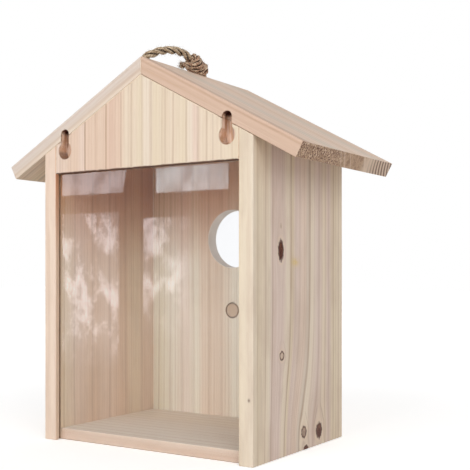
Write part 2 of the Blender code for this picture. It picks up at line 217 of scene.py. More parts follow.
# %% [markdown]
# ## Colours and the start of a finish
#
# Colours are written as they look on the screen, from 0 to 255, and turned into light values once.
# Each finish reads the place on the piece in millimetres, as three fields, and not a picture's map,
# so a pattern keeps its scale on every piece.

# %% Start a finish
def tone(red, green, blue):
    """A screen colour as the light values that shaders use (the sRGB curve undone)."""
    shares = np.array((red, green, blue)) / 255
    light = np.where(shares <= 0.04045, shares / 12.92, ((shares + 0.055) / 1.055) ** 2.4)
    return (*(float(value) for value in light), 1.0)


class Finish:
    """A material's node tree, with one short call for each kind of node."""

    def __init__(self, name):
        self.material = bpy.data.materials.new(name)
        self.material.use_nodes = True
        self.tree = self.material.node_tree
        self.surface = self.tree.nodes["Principled BSDF"]
        self.coordinates = self.add("ShaderNodeTexCoord")

    def add(self, kind, inputs=None, **settings):
        """A new node with its settings and inputs."""
        node = self.tree.nodes.new(kind)
        for name, value in settings.items():
            setattr(node, name, value)
        for name, value in (inputs or {}).items():
            feed(self.tree, node.inputs[name], value)
        return node

    def parts(self, vector, scale=1.0):
        """The three components of a vector as fields."""
        split = self.add("ShaderNodeSeparateXYZ", {0: vector})
        return [Field(self.tree, socket) * scale for socket in split.outputs]

    def place(self):
        """The place on the piece in millimetres."""
        return self.parts(self.coordinates.outputs["Object"], 1 / MM)

    def facing(self):
        """The direction that the surface faces, from -1 to 1 along each axis."""
        return self.parts(self.coordinates.outputs["Normal"])

    def noise(self, x, y, z, detail=2.0, roughness=0.5):
        """A cloudy number from 0 to 1, with its middle at 0.5."""
        where = self.add("ShaderNodeCombineXYZ", {0: x, 1: y, 2: z})
        inputs = {"Vector": where.outputs[0], "Scale": 1.0, "Detail": detail, "Roughness": roughness}
        return Field(self.tree, self.add("ShaderNodeTexNoise", inputs).outputs[0])

    def mix(self, first, second, share, blend="MIX"):
        """A colour between two colours or, with MULTIPLY, the first seen through the second."""
        node = self.add("ShaderNodeMix", data_type="RGBA", blend_type=blend)
        for place, value in (("Factor", share), (6, first), (7, second)):
            feed(self.tree, node.inputs[place], value)
        return node.outputs[2]

    def layers(self, colour, *layers):
        """Lays colours over a first one, each given with its share."""
        for over, share in layers:
            colour = self.mix(colour, over, share)
        return colour

    def bands(self, number, stops):
        """A colour for each value of a number, smooth between the given (value, colour) stops."""
        low, high = stops[0][0], stops[-1][0]
        ramp = self.add("ShaderNodeValToRGB", {0: (number - low) / (high - low)})
        ramp.color_ramp.interpolation = "EASE"
        elements = ramp.color_ramp.elements
        while len(elements) < len(stops):
            elements.new(1.0)
        for element, (value, colour) in zip(elements, stops):
            element.position = (value - low) / (high - low)
            element.color = colour
        return ramp.outputs[0]

    def relief(self, height, depth):
        """Lights the surface as if it stood up to depth (in metres) higher where height is 1."""
        bump = self.add("ShaderNodeBump", {"Height": height, "Distance": depth, "Strength": 1.0})
        feed(self.tree, self.surface.inputs["Normal"], bump.outputs[0])

    def show(self, colour, roughness, specular=0.5):
        """Gives the surface its colour, roughness and specular level, and hands over the material."""
        feed(self.tree, self.surface.inputs["Base Color"], colour)
        feed(self.tree, self.surface.inputs["Roughness"], roughness)
        self.surface.inputs["Specular IOR Level"].default_value = specular
        return self.material


print("a mid grey as light:", round(tone(128, 128, 128)[0], 3))

# %% [markdown]
# ## Raw planed softwood
#
# A board is sawn along the trunk, so its long faces show the year rings as lines, and its ends show
# them as arcs. Image textures of wood exist, but they stretch round the edges and repeat. Here
# every board is a solid pattern instead: one number, the ring, is the place across the board, bent
# by slow noise and pushed aside by knots. Tones, lines and fibres all follow that number, so they
# run on round every edge, as they do in a real board.

# %% Tones of the wood
CREAM = tone(236, 217, 193)
STRAW = tone(234, 216, 189)
PALE = tone(238, 221, 200)
BLUSH = tone(236, 212, 194)
PEACH = tone(231, 203, 180)
ROSE = tone(227, 196, 174)
ASH = tone(222, 205, 188)
LILAC = tone(217, 203, 192)
MAUVE = tone(229, 206, 194)
DEEP_PEACH = tone(212, 182, 161)
CLAY = tone(198, 172, 152)
LATE_WOOD = tone(192, 152, 118)
DARK_LINE = tone(164, 122, 90)
KNOT_BROWN = tone(82, 42, 28)
KNOT_RIM = tone(128, 80, 56)
KNOT_HALO = tone(232, 208, 184)
ROUTED = tone(222, 180, 148)
ROUTED_PALE = tone(246, 222, 206)
ROUTED_DEEP = tone(74, 34, 24)
SAW_EDGE = tone(120, 82, 58)
SLOT_BROWN_AND_SHADE = tone(158, 116, 86)
END_BROWN = tone(182, 150, 122)
END_PORE = tone(96, 62, 46)
END_PALE = tone(222, 198, 176)
STAIN_YELLOW = tone(218, 188, 116)
RIM_PAINTED_LIGHT = tone(250, 244, 236)
print("cream as light:", [round(value, 3) for value in CREAM[:3]])

# %% [markdown]
# ## Knots
#
# A knot is a branch sawn through. The trunk's year rings part round it, so the ring number is
# pushed aside near it, and the knot is painted as an ellipse with a ragged edge. Each knot could be
# a mesh of its own, but a planed knot is flat, so paint shows all of it.

# %% Draw the knots
def swell(across, along, centre, reach):
    """exp(-d squared), where d is the distance from a centre in shares of the reach each way."""
    side = (across - centre[0]) / reach[0]
    up = (along - centre[1]) / reach[1]
    return (side * side + up * up).fade()


def follow_knots(across, along, knots):
    """Moves the ring number so that the lines part round each knot and close again past it."""
    ring = across
    for centre, reach, _ in knots:
        wide = (reach[0] * 1.7, reach[1] * 2.6)
        ring = ring - (across - centre[0]) * swell(across, along, centre, wide)
    return ring


def draw_knots(finish, colour, across, along, knots):
    """Paints each knot: a pale halo drawn out upwards, a dark rim, and inside it the knot's own wood.

    A knot is its centre, its half sizes, and how strong its heart, rim and halo are from 0 to 1.
    """
    rough = finish.noise(across * 0.7, along * 0.45, 0.0, 3.0) - 0.5
    for centre, reach, (heart, rim, halo) in knots:
        side = (across - centre[0]) / reach[0]
        up = (along - centre[1]) / reach[1]
        far = distance(side, up) + rough * 0.7
        above = (along - centre[1] - reach[1]) / (reach[1] * 2.6)
        flame = abs(side) + above.most(0.0) * 1.2
        body = above.within(-0.7, 0.7, 0.4) * halo
        small_rings = (far * 2.6 + rough).fraction().peak(0.5, 0.5)
        wood = finish.mix(KNOT_BROWN, KNOT_RIM, small_rings * 0.7)
        pale = finish.mix(KNOT_HALO, KNOT_RIM, small_rings * 0.45)
        core = (far + up * 0.45).fall(0.3, 0.75) * heart
        colour = finish.layers(
            colour,
            (KNOT_HALO, flame.fall(0.6, 1.5) * body * 0.6),
            (DARK_LINE, flame.peak(1.7, 0.26) * body * 0.5),
            (KNOT_HALO, far.peak(1.3, 0.4) * rim * 0.6),
            (finish.mix(pale, wood, heart), far.fall(0.8, 1.0)),
            (KNOT_BROWN, far.peak(0.9, 0.34) * rim),
            (ROUTED_DEEP, core * small_rings.step(0.1, 0.7, 1.0, 0.55)),
        )
    return colour


# %% [markdown]
# ## Sawn ends
#
# A saw cuts the wood's tubes open, so an end is darker than a face and full of pores. The eave ends
# of the roof show most: open pores near the window side, and clear arcs of rings at the far side.

# %% Draw the sawn ends
EAVE_STREAKS = ((-9.0, 0.7, 0.7), (-4.5, 1.6, 0.45), (3.0, 0.6, 0.6), (22.0, 2.2, 0.7))
EAVE_HEART = (92, -10)


def sawn_end(finish, across, through):
    """The end of a board as a saw leaves it: brown, with open pores between faint ring arcs."""
    pore = finish.noise(across * 1.3, through * 1.3, 0.0, 2.0, 0.6)
    arcs = ((across * across * 0.004 + through) / 1.7).fraction().peak(0.5, 0.32)
    colour = finish.mix(END_BROWN, SAW_EDGE, arcs * 0.4)
    return finish.mix(colour, END_PORE, pore.step(0.56, 0.72) * 0.85), pore


def eave_end(finish, across, through):
    """The eave end of a roof board: speckled near the window side, banded in the middle, and with
    the dark arcs of the year rings at the entrance side."""
    speck = finish.noise(across * 0.85, through * 0.85, 3.0, 2.0, 0.7)
    coarse = finish.noise(across * 0.3, through * 0.3, 7.0, 3.0, 0.6)
    near = across.fall(-14, 2)
    slant = across - through * 0.9
    far = distance(across - EAVE_HEART[0], through * 1.5 - EAVE_HEART[1])
    arcs = (far / 3.6).fraction().peak(0.5, 0.42)
    colour = finish.layers(
        END_BROWN,
        (SAW_EDGE, coarse.step(0.45, 0.62) * 0.55),
        (END_PORE, speck.step(0.53, 0.58) * (near * 0.85 + 0.15)),
        (END_PALE, speck.fall(0.36, 0.42) * (near * 0.75 + 0.2)),
        *((END_PALE, slant.peak(centre, width) * strength) for centre, width, strength in EAVE_STREAKS),
        (END_PALE, across.step(20, 30) * 0.8),
        (END_PORE, arcs * across.step(26, 44) * 0.95),
    )
    return colour, speck


# %% [markdown]
# ## The finish of a board
#
# The layers come in the order in which they were made: a tone for each ring, late wood and fibres,
# drawn lines, knots, and then the sawn ends and the marks of tools. The inner faces get a tint of
# painted light, and turn darker and redder towards the roof with painted shade. One function with
# options serves all seven boards, so that they look cut from the same kind of wood.

# %% Build up a board's finish
RING_GAP = 2.3
# Painted shade under the roof: the faces inside turn darker and redder between these heights.
PAINTED_ROOF_SHADE_HEIGHTS = (98, 165)
PAINTED_ROOF_SHADE = (0.78, 0.5, 0.36, 1.0)


def board_wood(name, grain, stops, lines=(), knots=(), bends=(), lean=0.25, drift=1.6,
               ring_strength=0.16, mottle=0.0, inside=None, painted_inside_light=(1.0, 0.98, 0.94, 1.0),
               roof_shade_tint=None, end_grain=sawn_end, end_share=0.8, shade=None, marks=()):
    """Planed softwood with its rings, lines, fibres, knots, sawn ends and tool marks.

    grain turns the place (x, y, z) into (across, along, through, end): the first three in
    millimetres, and end from 0 on a long face to 1 on a sawn end. stops are the tones across the
    board, lines are (place across, width, strength), and bends push the rings aside.
    """
    finish = Finish(name)
    x, y, z = finish.place()
    across, along, through, end = grain(finish, x, y, z)
    slow = finish.noise(across * 0.025, along * 0.009, through * 0.04, 2.0) - 0.5
    wavy = finish.noise(across * 0.2, along * 0.035, through * 0.2, 2.0) - 0.5
    ring = follow_knots(across, along, knots)
    for centre, reach, push in bends:
        ring = ring + swell(across, along, centre, reach) * push
    ring = ring + through * lean + slow * drift + wavy * 0.7

    streak = finish.noise(ring * 0.55, along * 0.006, through * 0.3, 5.0, 0.68)
    fibre = finish.noise(ring * 4.5, along * 0.09, through * 4.5, 3.0, 0.6)
    phase = (ring / RING_GAP + (streak - 0.5) * 1.3).fraction()
    late = phase.step(0.35, 0.93) * phase.fall(0.93, 1.0)

    colour = finish.layers(
        finish.bands(ring, stops),
        (LATE_WOOD, late * ring_strength),
        (LATE_WOOD, streak.step(0.48, 0.8) * 0.4),
        (PALE, streak.fall(0.22, 0.52) * 0.45),
        (LATE_WOOD, fibre.step(0.52, 0.85) * 0.28),
    )
    if mottle:
        cloud = finish.noise(ring * 0.09, along * 0.02, through * 0.1, 4.0, 0.6)
        colour = finish.mix(colour, CLAY, cloud.step(0.42, 0.68) * mottle)
    waver = finish.noise(ring * 0.3, along * 0.03, through * 0.3, 3.0) * 1.2 + 0.4
    for centre, width, strength in lines:
        colour = finish.mix(colour, DARK_LINE, ring.peak(centre, width * 1.25) * waver * strength)
    colour = draw_knots(finish, colour, across, along, knots)

    if shade is not None:
        colour = finish.mix(colour, shade, 1.0, "MULTIPLY")
    # Painted light: the faces inside the box get a tint, mostly lighter than the wood.
    if inside is not None:
        colour = finish.mix(colour, painted_inside_light, inside(through), "MULTIPLY")
    # Painted shade: the faces inside darker and redder towards the roof.
    if roof_shade_tint is not None:
        upper = inside(through) * z.step(*PAINTED_ROOF_SHADE_HEIGHTS)
        colour = finish.mix(colour, roof_shade_tint, upper, "MULTIPLY")
    sawn, pore = end_grain(finish, across, through)
    colour = finish.mix(colour, sawn, end * end_share)
    for mark in marks:
        colour = mark(finish, colour, x, y, z)

    finish.relief(late * 0.45 + fibre * 0.55 + end * pore * 1.6, 0.16 * MM)
    return finish.show(colour, fibre * 0.22 + streak * 0.16 + 0.42, 0.3)


# Where the painted shade under the roof begins and ends.
print("painted_shade tint from", PAINTED_ROOF_SHADE_HEIGHTS[0], "to", PAINTED_ROOF_SHADE_HEIGHTS[1], "mm up")

# %% [markdown]
# ## Tool marks
#
# A router burns softwood a little where it dwells, so a keyhole is brown inside. Its top, where the
# screw comes to rest and no light reaches, is painted near black as shade, and so is a rim round the
# keyhole's head. One side wall of each keyhole gets a paler, pinkish painted highlight. A saw leaves
# a furry brown arris below the gable board, darkened further with painted shade where the board
# overhangs the pane, and the slot for the pane is a rough darker brown, with painted shade in it.
# These marks are burnt wood, saw marks and painted shade and highlight, with hardly any shape, so
# they are painted, as the last layer.

# %% Marks of the router and the saw
KEYHOLE_CENTRE = 58.5
KEYHOLE_HEIGHTS = (170.1, 188.3)
KEYHOLE_HEAD = 175.4
KEYHOLE_HALF = 5.5
KEYHOLE_SHADE_TOP = (186.4, 188.6)
ROUTED_FROM, ROUTED_TO = (0.3, 1.2), (8.2, 8.6)
SLOT_DEPTHS = (0.3, 4.3)
STAIN_PLACE, STAIN_REACH = (-7.4, 107.8), (4.0, 2.2)
NICK_PLACE, NICK_REACH = (72.4, 34.9), (0.7, 0.9)


def keyhole_marks(finish, colour, x, y, z):
    """Browns what lies deeper than the face inside the two keyholes, with painted shade at
    the top and round the head, and a painted highlight on one side wall.
    """
    depth = y - WINDOW_FACE
    side, up = abs(x) - KEYHOLE_CENTRE, z - KEYHOLE_HEAD
    column = abs(side).fall(KEYHOLE_HALF, KEYHOLE_HALF + 0.3)
    reach = z.within(KEYHOLE_HEIGHTS[0] - 0.5, KEYHOLE_HEIGHTS[1] + 0.9, 0.3)
    burn = finish.noise(x * 1.0, y * 0.4, z * 0.16, 3.0)
    middle = abs(x + 0.6) - KEYHOLE_CENTRE
    painted_highlight_wall = (x - x / abs(x) * KEYHOLE_CENTRE).within(0.4, 3.6, 0.7)
    rim = distance(side, up).within(4.6, 5.6, 0.3) * up.fall(-1.4, 1.1)
    brown = finish.layers(
        ROUTED,
        (ROUTED_PALE, burn.step(0.42, 0.62) * 0.7),
        # Painted highlight on the keyhole's lit side wall.
        (ROUTED_PALE, painted_highlight_wall * 0.7),
        (SAW_EDGE, middle.within(-0.4, 0.6, 0.5) * burn.step(0.35, 0.6) * 0.4),
        # Painted shade: a dark rim round the keyhole's head, and the dark top of the slot.
        (ROUTED_DEEP, rim * x.step(-1.0, 1.0, 0.55, 0.25)),
        (ROUTED_DEEP, (z + burn * 2.0).step(*KEYHOLE_SHADE_TOP)),
    )
    routed = depth.step(*ROUTED_FROM) * depth.fall(*ROUTED_TO)
    return finish.mix(colour, brown, routed * column * reach)


def saw_fur_and_shade(finish, colour, x, y, z):
    """A broken dark line along the gable board's lower arris: saw fur, and painted shade where the board
    overhangs the pane.
    """
    rag = finish.noise(x * 0.35, 0.0, z * 0.6, 4.0, 0.7)
    height = z - gable_low[2] - rag * 1.2
    return finish.mix(colour, END_PORE, height.fall(-0.5, 0.1) * rag.step(0.34, 0.46) * 0.95)


def pane_slot(finish, colour, x, y, z):
    """The slot that the pane slides in, a rough darker brown: saw-roughened wood and painted shade."""
    slot = y.within(pane_low[1] - 0.4, pane_high[1] + 0.4, 0.1)
    deep = (abs(x) - WALL_INSIDE).within(*SLOT_DEPTHS, 0.3)
    rag = finish.noise(x * 0.5, y * 0.5, z * 0.3, 3.0)
    return finish.mix(colour, SLOT_BROWN_AND_SHADE, slot * deep * (rag * 0.5 + 0.5))


def wall_stains(finish, colour, x, y, z):
    """A faint yellow stain beside the loose knot, and a nick in the right wall's front edge."""
    stain = swell(y, z, STAIN_PLACE, STAIN_REACH) * (x - WALL_OUTSIDE).step(-0.5, -0.2)
    cloud = finish.noise(y * 0.5, z * 0.5, 2.0, 3.0)
    colour = finish.mix(colour, STAIN_YELLOW, stain * cloud.step(0.25, 0.5) * 0.75)
    nick = swell(x, z, NICK_PLACE, NICK_REACH) * (y - WINDOW_FACE).fall(0.3, 0.6)
    return finish.mix(colour, END_PORE, nick * 0.8)


print("keyholes at", KEYHOLE_CENTRE, "mm each side, from", *KEYHOLE_HEIGHTS, "mm up")

# %% [markdown]
# ## Which way the grain runs
#
# The walls, the gable board and the entrance wall have upright grain. The roof boards have grain
# that runs down the slope, and the floor board has grain that runs from wall to wall. One short
# function for each direction tells the same finish how its board was cut.

# %% Directions of the grain
SAWN = (0.75, 0.95)


def upright_front(finish, x, y, z):
    """Gable board and entrance wall: across is X, along is Z."""
    return x, z, y - WINDOW_FACE, abs(finish.facing()[2]).step(*SAWN)


def upright_side(finish, x, y, z):
    """Side walls: across is Y, along is Z."""
    return y, z, abs(x) - WALL_INSIDE, abs(finish.facing()[2]).step(*SAWN)


def down_slope(finish, x, y, z):
    """Roof boards: across is Y, along runs down the slope from the ridge."""
    run, drop = math.cos(ROOF_PITCH), math.sin(ROOF_PITCH)
    below = RIDGE_HEIGHT - z
    along = abs(x) * run + below * drop
    through = below * run - abs(x) * drop
    facing = finish.facing()
    down = abs(facing[0]) * run - facing[2] * drop
    return y, along, through, down.step(*SAWN)


def wall_to_wall(finish, x, y, z):
    """Floor board: across is Y, along is X."""
    return y, x, z, abs(finish.facing()[0]).step(*SAWN)


print("the roof slopes at", round(math.degrees(ROOF_PITCH), 1), "degrees")

# %% [markdown]
# ## The gable board
#
# The most looked-at board: pink on the left, cream to the right, with thin upright lines about
# 8 mm apart and one dark line near the left keyhole. Chance alone never draws such calm rows, so
# every line and tone has its place in a table.

# %% Finish of the gable board
GABLE_TONES = (
    (-66, BLUSH), (-50, PEACH), (-44, BLUSH), (-40, PEACH), (-28, PEACH), (-22, ROSE), (-16, PEACH),
    (-11, CREAM), (-6, CREAM), (0, STRAW), (3, PALE), (6, PALE), (10, STRAW), (22, CREAM), (30, STRAW),
    (34, PALE), (38, BLUSH), (42, CREAM), (55, CREAM), (66, STRAW),
)
GABLE_LINES = (
    (-62.5, 0.9, 0.22), (-42.3, 0.7, 0.75), (-25.9, 0.7, 0.5), (-14.6, 0.7, 0.3), (-9.0, 0.6, 0.15),
    (-6.8, 1.0, 0.28), (0.9, 0.8, 0.22), (7.4, 1.0, 0.26), (15.1, 0.7, 0.16), (17.2, 1.1, 0.2),
    (23.0, 0.8, 0.28), (31.7, 1.0, 0.24), (39.7, 1.0, 0.26), (45.4, 0.8, 0.26), (49.4, 0.8, 0.24),
    (-54.0, 0.6, 0.14), (-34.0, 0.6, 0.14), (54.8, 0.7, 0.16), (62.0, 0.8, 0.16),
)
GABLE_SHADE = (0.93, 0.935, 0.95, 1.0)
gable_wood = board_wood("gable_wood", upright_front, GABLE_TONES, GABLE_LINES, drift=0.8, lean=0.0,
                        ring_strength=0.1, end_share=0.9, shade=GABLE_SHADE,
                        marks=(keyhole_marks, saw_fur_and_shade))
print("gable lines:", len(GABLE_LINES))

# %% [markdown]
# ## The side walls
#
# The right wall shows a sawn branch: its lines lean towards the window side in the lower third and
# close round two knots there. A loose knot higher up has left a narrow hole. One bend of the ring
# number leans all the lines and tones at once, where drawn curves would cross them.

# %% Finishes of the side walls
RIGHT_WALL_TONES = (
    (-53, STRAW), (-50, PALE), (-46, STRAW), (-38, CREAM), (-33, PALE), (-30, MAUVE), (-20, MAUVE),
    (-13, PALE), (-11, PALE), (-8, STRAW), (-4, MAUVE), (6, BLUSH), (12, ASH), (15, PALE), (24, MAUVE),
    (31, CREAM), (36, MAUVE), (42, STRAW), (53, CREAM),
)
RIGHT_WALL_LINES = (
    (-49.7, 0.8, 0.08), (-45.6, 0.9, 0.28), (-37.4, 1.2, 0.3), (-29.9, 1.0, 0.34), (-19.5, 0.8, 0.14),
    (-9.6, 1.5, 0.5), (-4.0, 0.8, 0.16), (0.7, 0.9, 0.24), (6.0, 0.7, 0.16), (12.8, 1.3, 0.46),
    (18.5, 0.8, 0.18), (24.2, 1.0, 0.32), (28.0, 0.7, 0.2), (32.0, 1.1, 0.36), (36.5, 0.8, 0.26),
    (42.7, 1.0, 0.36), (46.0, 0.7, 0.22), (49.6, 0.9, 0.32),
)
LOOSE_KNOT = ((-23.4, 114.2), (2.9, 5.6), (1.0, 0.9, 0.1))
RIGHT_WALL_KNOTS = (
    LOOSE_KNOT,
    ((-22.3, 56.1), (2.4, 2.5), (0.05, 1.0, 0.35)),
    ((-23.4, 127.7), (0.9, 1.6), (0.1, 0.15, 0.0)),
    ((3.0, 10.4), (2.9, 3.3), (0.35, 1.0, 0.6)),
    ((21.6, 8.6), (3.7, 4.4), (0.95, 0.8, 0.9)),
    ((5.5, 0.3), (2.7, 2.2), (1.0, 0.9, 0.2)),
)
RIGHT_WALL_BENDS = (((-4.0, 0.0), (24.0, 46.0), 13.0),)
RIGHT_WALL_SHADE = (0.94, 0.955, 0.96, 1.0)
LEFT_WALL_TONES = (
    (-53, BLUSH), (-44, CREAM), (-30, BLUSH), (-18, PEACH), (-4, BLUSH), (10, PEACH), (24, CREAM),
    (38, BLUSH), (53, CREAM),
)
LEFT_WALL_LINES = tuple(zip(
    (-48, -44, -35, -29, -18.5, -13, -2, 4.5, 14, 20, 31, 35, 46),
    (0.9, 0.7, 1.2, 0.7, 1.4, 0.7, 1.5, 0.8, 1.2, 0.7, 1.3, 0.8, 1.0),
    (0.2, 0.14, 0.22, 0.14, 0.24, 0.12, 0.28, 0.14, 0.22, 0.14, 0.22, 0.12, 0.2),
))


def near_inner_face(through):
    """1 on a side wall's inner face, 0 on its edge and outside."""
    return through.fall(0.1, 0.5)


right_wood = board_wood("right_wall_wood", upright_side, RIGHT_WALL_TONES, RIGHT_WALL_LINES,
                        RIGHT_WALL_KNOTS, RIGHT_WALL_BENDS, drift=1.2, ring_strength=0.1,
                        mottle=0.35, inside=near_inner_face, roof_shade_tint=PAINTED_ROOF_SHADE,
                        shade=RIGHT_WALL_SHADE, marks=(pane_slot, wall_stains))
left_wood = board_wood("left_wall_wood", upright_side, LEFT_WALL_TONES, LEFT_WALL_LINES,
                       drift=3.0, mottle=0.2, inside=near_inner_face, roof_shade_tint=PAINTED_ROOF_SHADE,
                       marks=(pane_slot,))
print("knots in the right wall:", len(RIGHT_WALL_KNOTS))

# %% [markdown]
# ## Entrance wall, floor and roof
#
# The entrance wall is seen twice: inside through the pane, and outside behind the perch. Light that
# has bounced between boards comes back redder, so the faces inside are tinted with painted light:
# the entrance wall, the floor's top and the left roof's underside lighter and cooler, the side walls
# and the right roof's underside a little warmer. The roof boards are cut from wider planks with broad
# tones and few lines.

# %% Finishes of the entrance wall, the floor and the roof
ENTRANCE_TONES = (
    (-66, PALE), (-58, CREAM), (-50, STRAW), (-40, PALE), (-28, BLUSH), (-20, PALE), (-13, PEACH),
    (0, PEACH), (14, PALE), (30, STRAW), (46, BLUSH), (66, PALE),
)
ENTRANCE_LINES = (
    (-63, 0.7, 0.3), (-60.5, 0.6, 0.22), (-57.5, 0.6, 0.3), (-55, 0.5, 0.18), (-51, 0.9, 0.28),
    (-46.5, 0.6, 0.16), (-41, 1.1, 0.24), (-37, 0.6, 0.14), (-31.5, 0.9, 0.26), (-22, 1.4, 0.2),
    (-17, 0.6, 0.14), (-9, 1.0, 0.24), (1, 1.3, 0.18), (7, 0.7, 0.22), (13, 0.6, 0.14), (21, 1.1, 0.2),
    (30, 0.8, 0.24), (35, 1.0, 0.16), (45, 0.8, 0.24), (49, 0.6, 0.14), (57, 0.9, 0.22),
)
FLOOR_TONES = ((-50, DEEP_PEACH), (-47, ROSE), (-43, PALE), (-20, PALE), (0, PALE), (20, CREAM), (44, PALE))
FLOOR_LINES = tuple((-48 + 7.3 * step, 0.8, 0.2 + 0.05 * (step % 3)) for step in range(13))
RIGHT_ROOF_TONES = (
    (-53, DEEP_PEACH), (-45, DEEP_PEACH), (-42, BLUSH), (-36, PEACH), (-28, BLUSH), (-18, ASH), (-6, BLUSH),
    (8, PEACH), (22, BLUSH), (38, ASH), (50, PEACH), (70, BLUSH),
)
ROOF_LINES = tuple(zip(
    (-47, -40, -33.5, -25, -18, -9, -1, 8, 15, 24, 33, 40, 49, 57),
    (0.9,) * 14,
    (0.22, 0.3, 0.18, 0.36, 0.22, 0.28, 0.16, 0.36, 0.2, 0.3, 0.24, 0.34, 0.2, 0.26),
))
RIGHT_ROOF_LINES = ((-50.8, 0.8, 0.2), (-47.4, 0.7, 0.1), *ROOF_LINES[1:])
LEFT_ROOF_TONES = (
    (-53, LILAC), (-48.5, LILAC), (-46.5, ASH), (-40, BLUSH), (-30, CREAM), (-14, ASH), (4, BLUSH),
    (20, CREAM), (40, BLUSH), (62, ASH),
)
# Painted light for the faces inside: tints that lighten and cool them, or warm them a little.
ENTRANCE_INSIDE_PAINTED_LIGHT = (1.06, 1.16, 1.21, 1.0)
FLOOR_TOP_PAINTED_LIGHT = (1.07, 1.15, 1.26, 1.0)
RIGHT_ROOF_UNDER_PAINTED_LIGHT = (1.0, 1.0, 0.96, 1.0)
LEFT_ROOF_UNDER_PAINTED_LIGHT = (1.1, 1.18, 1.14, 1.0)


def lit_entrance_rim(finish, colour, x, y, z):
    """Painted light: the wall of the round entrance, which lies in shade, painted paler."""
    inside_hole = distance(x, z - ENTRANCE_HEIGHT).fall(ENTRANCE_RADIUS, ENTRANCE_RADIUS + 0.4)
    return finish.mix(colour, RIM_PAINTED_LIGHT, inside_hole * 0.8)


def entrance_inner_face(through):
    """1 on the entrance wall's inner face."""
    start = entrance_low[1] - WINDOW_FACE
    return through.fall(start + 0.1, start + 0.6)


def floor_top(through):
    """1 on the floor board's top face."""
    return through.step(floor_high[2] - 0.4, floor_high[2] - 0.1)


def roof_underside(through):
    """1 on a roof board's underside."""
    return through.step(ROOF_THICKNESS - 0.5, ROOF_THICKNESS - 0.1)


entrance_wood = board_wood("entrance_wall_wood", upright_front, ENTRANCE_TONES, ENTRANCE_LINES,
                           drift=2.0, inside=entrance_inner_face, painted_inside_light=ENTRANCE_INSIDE_PAINTED_LIGHT,
                           roof_shade_tint=PAINTED_ROOF_SHADE, lean=0.1, marks=(lit_entrance_rim,))
floor_wood = board_wood("floor_wood", wall_to_wall, FLOOR_TONES, FLOOR_LINES, drift=2.0,
                        inside=floor_top, painted_inside_light=FLOOR_TOP_PAINTED_LIGHT)
right_roof_wood = board_wood("right_roof_wood", down_slope, RIGHT_ROOF_TONES, RIGHT_ROOF_LINES,
                             drift=0.5, lean=0.9, mottle=0.1, inside=roof_underside,
                             painted_inside_light=RIGHT_ROOF_UNDER_PAINTED_LIGHT, end_grain=eave_end, end_share=1.0,
                             marks=(keyhole_marks,))
left_roof_wood = board_wood("left_roof_wood", down_slope, LEFT_ROOF_TONES, ROOF_LINES, drift=1.2,
                            lean=0.9, inside=roof_underside, painted_inside_light=LEFT_ROOF_UNDER_PAINTED_LIGHT,
                            end_grain=eave_end, end_share=1.0, marks=(keyhole_marks,))
print("lines on the entrance wall:", len(ENTRANCE_LINES), "on a roof board:", len(ROOF_LINES))

# %% [markdown]
# ## The perch
#
# A dowel is turned from straight-grained stock, so its side shows straight fibres and only its two
# round ends show rings. They lie off its middle, because the stick was sawn beside the heart.

# %% Finish of the perch
RING_MIDDLE = (-6, 2)


def perch_wood():
    """A turned dowel: straight pale fibres along Y and fine rings on its round ends, and a dark ring of
    painted shade round its inner end, where it meets its bore.
    """
    finish = Finish("perch_wood")
    x, y, z = finish.place()
    height = z - (perch_low[2] + perch_high[2]) / 2
    streak = finish.noise(x * 1.6, y * 0.03, height * 1.6, 4.0, 0.65)
    far = distance(x - RING_MIDDLE[0], height - RING_MIDDLE[1])
    rings = (far / 1.15 + streak * 0.5).fraction().peak(0.6, 0.35)
    end = abs(finish.facing()[1]).step(0.6, 0.9)
    # Painted shade: a dark ring round the inner end, for the gap round the perch.
    rim = distance(x, height).step(3.6, 4.6) * (y - perch_low[1]).fall(0.0, 1.5)
    colour = finish.layers(
        CREAM,
        (LATE_WOOD, rings * 0.4 + streak.step(0.5, 0.8) * 0.4),
        (END_BROWN, end * 0.5),
        (SAW_EDGE, rim * 0.6),
    )
    finish.relief(streak, 0.1 * MM)
    return finish.show(colour, streak * 0.3 + 0.35, 0.35)


dowel = perch_wood()
print("perch nodes:", len(dowel.node_tree.nodes))

# %% [markdown]
# ## Clear pane
#
# A 2 mm sheet of clear plastic shows what is behind it and, at a slant, a weak image of what stands
# before it. Glass in a path tracer also stops the lamps, so rays that only carry light to the
# inside pass through a plain see-through shader instead.

# %% Finish of the pane
PANE_INDEX = 1.49


def pane_plastic():
    """Clear plastic that lets the lamps through, with faint smears from handling."""
    finish = Finish("clear_plastic")
    x, y, z = finish.place()
    smear = finish.noise(x * 0.03, y * 0.03, z * 0.05, 4.0, 0.6)
    finish.show(tone(252, 253, 255), smear.step(0.45, 0.8) * 0.05)
    finish.surface.inputs["Transmission Weight"].default_value = 1.0
    finish.surface.inputs["IOR"].default_value = PANE_INDEX
    path = finish.add("ShaderNodeLightPath")
    shadow = Field(finish.tree, path.outputs["Is Shadow Ray"])
    carried = shadow.most(Field(finish.tree, path.outputs["Is Diffuse Ray"]))
    open_air = finish.add("ShaderNodeBsdfTransparent", {"Color": tone(253, 254, 254)})
    both = finish.add("ShaderNodeMixShader")
    feed(finish.tree, both.inputs[0], carried)
    feed(finish.tree, both.inputs[1], finish.surface.outputs[0])
    feed(finish.tree, both.inputs[2], open_air.outputs[0])
    feed(finish.tree, finish.tree.nodes["Material Output"].inputs["Surface"], both.outputs[0])
    return finish.material


clear_plastic = pane_plastic()
print("pane from", pane_low.round(1), "to", pane_high.round(1))

# %% [markdown]
# ## Pins
#
# Thin steel pins hold the glued joints. They lie inside the boards, but they are pieces of the box
# like any other, so they get a finish that is right when the box is taken apart.

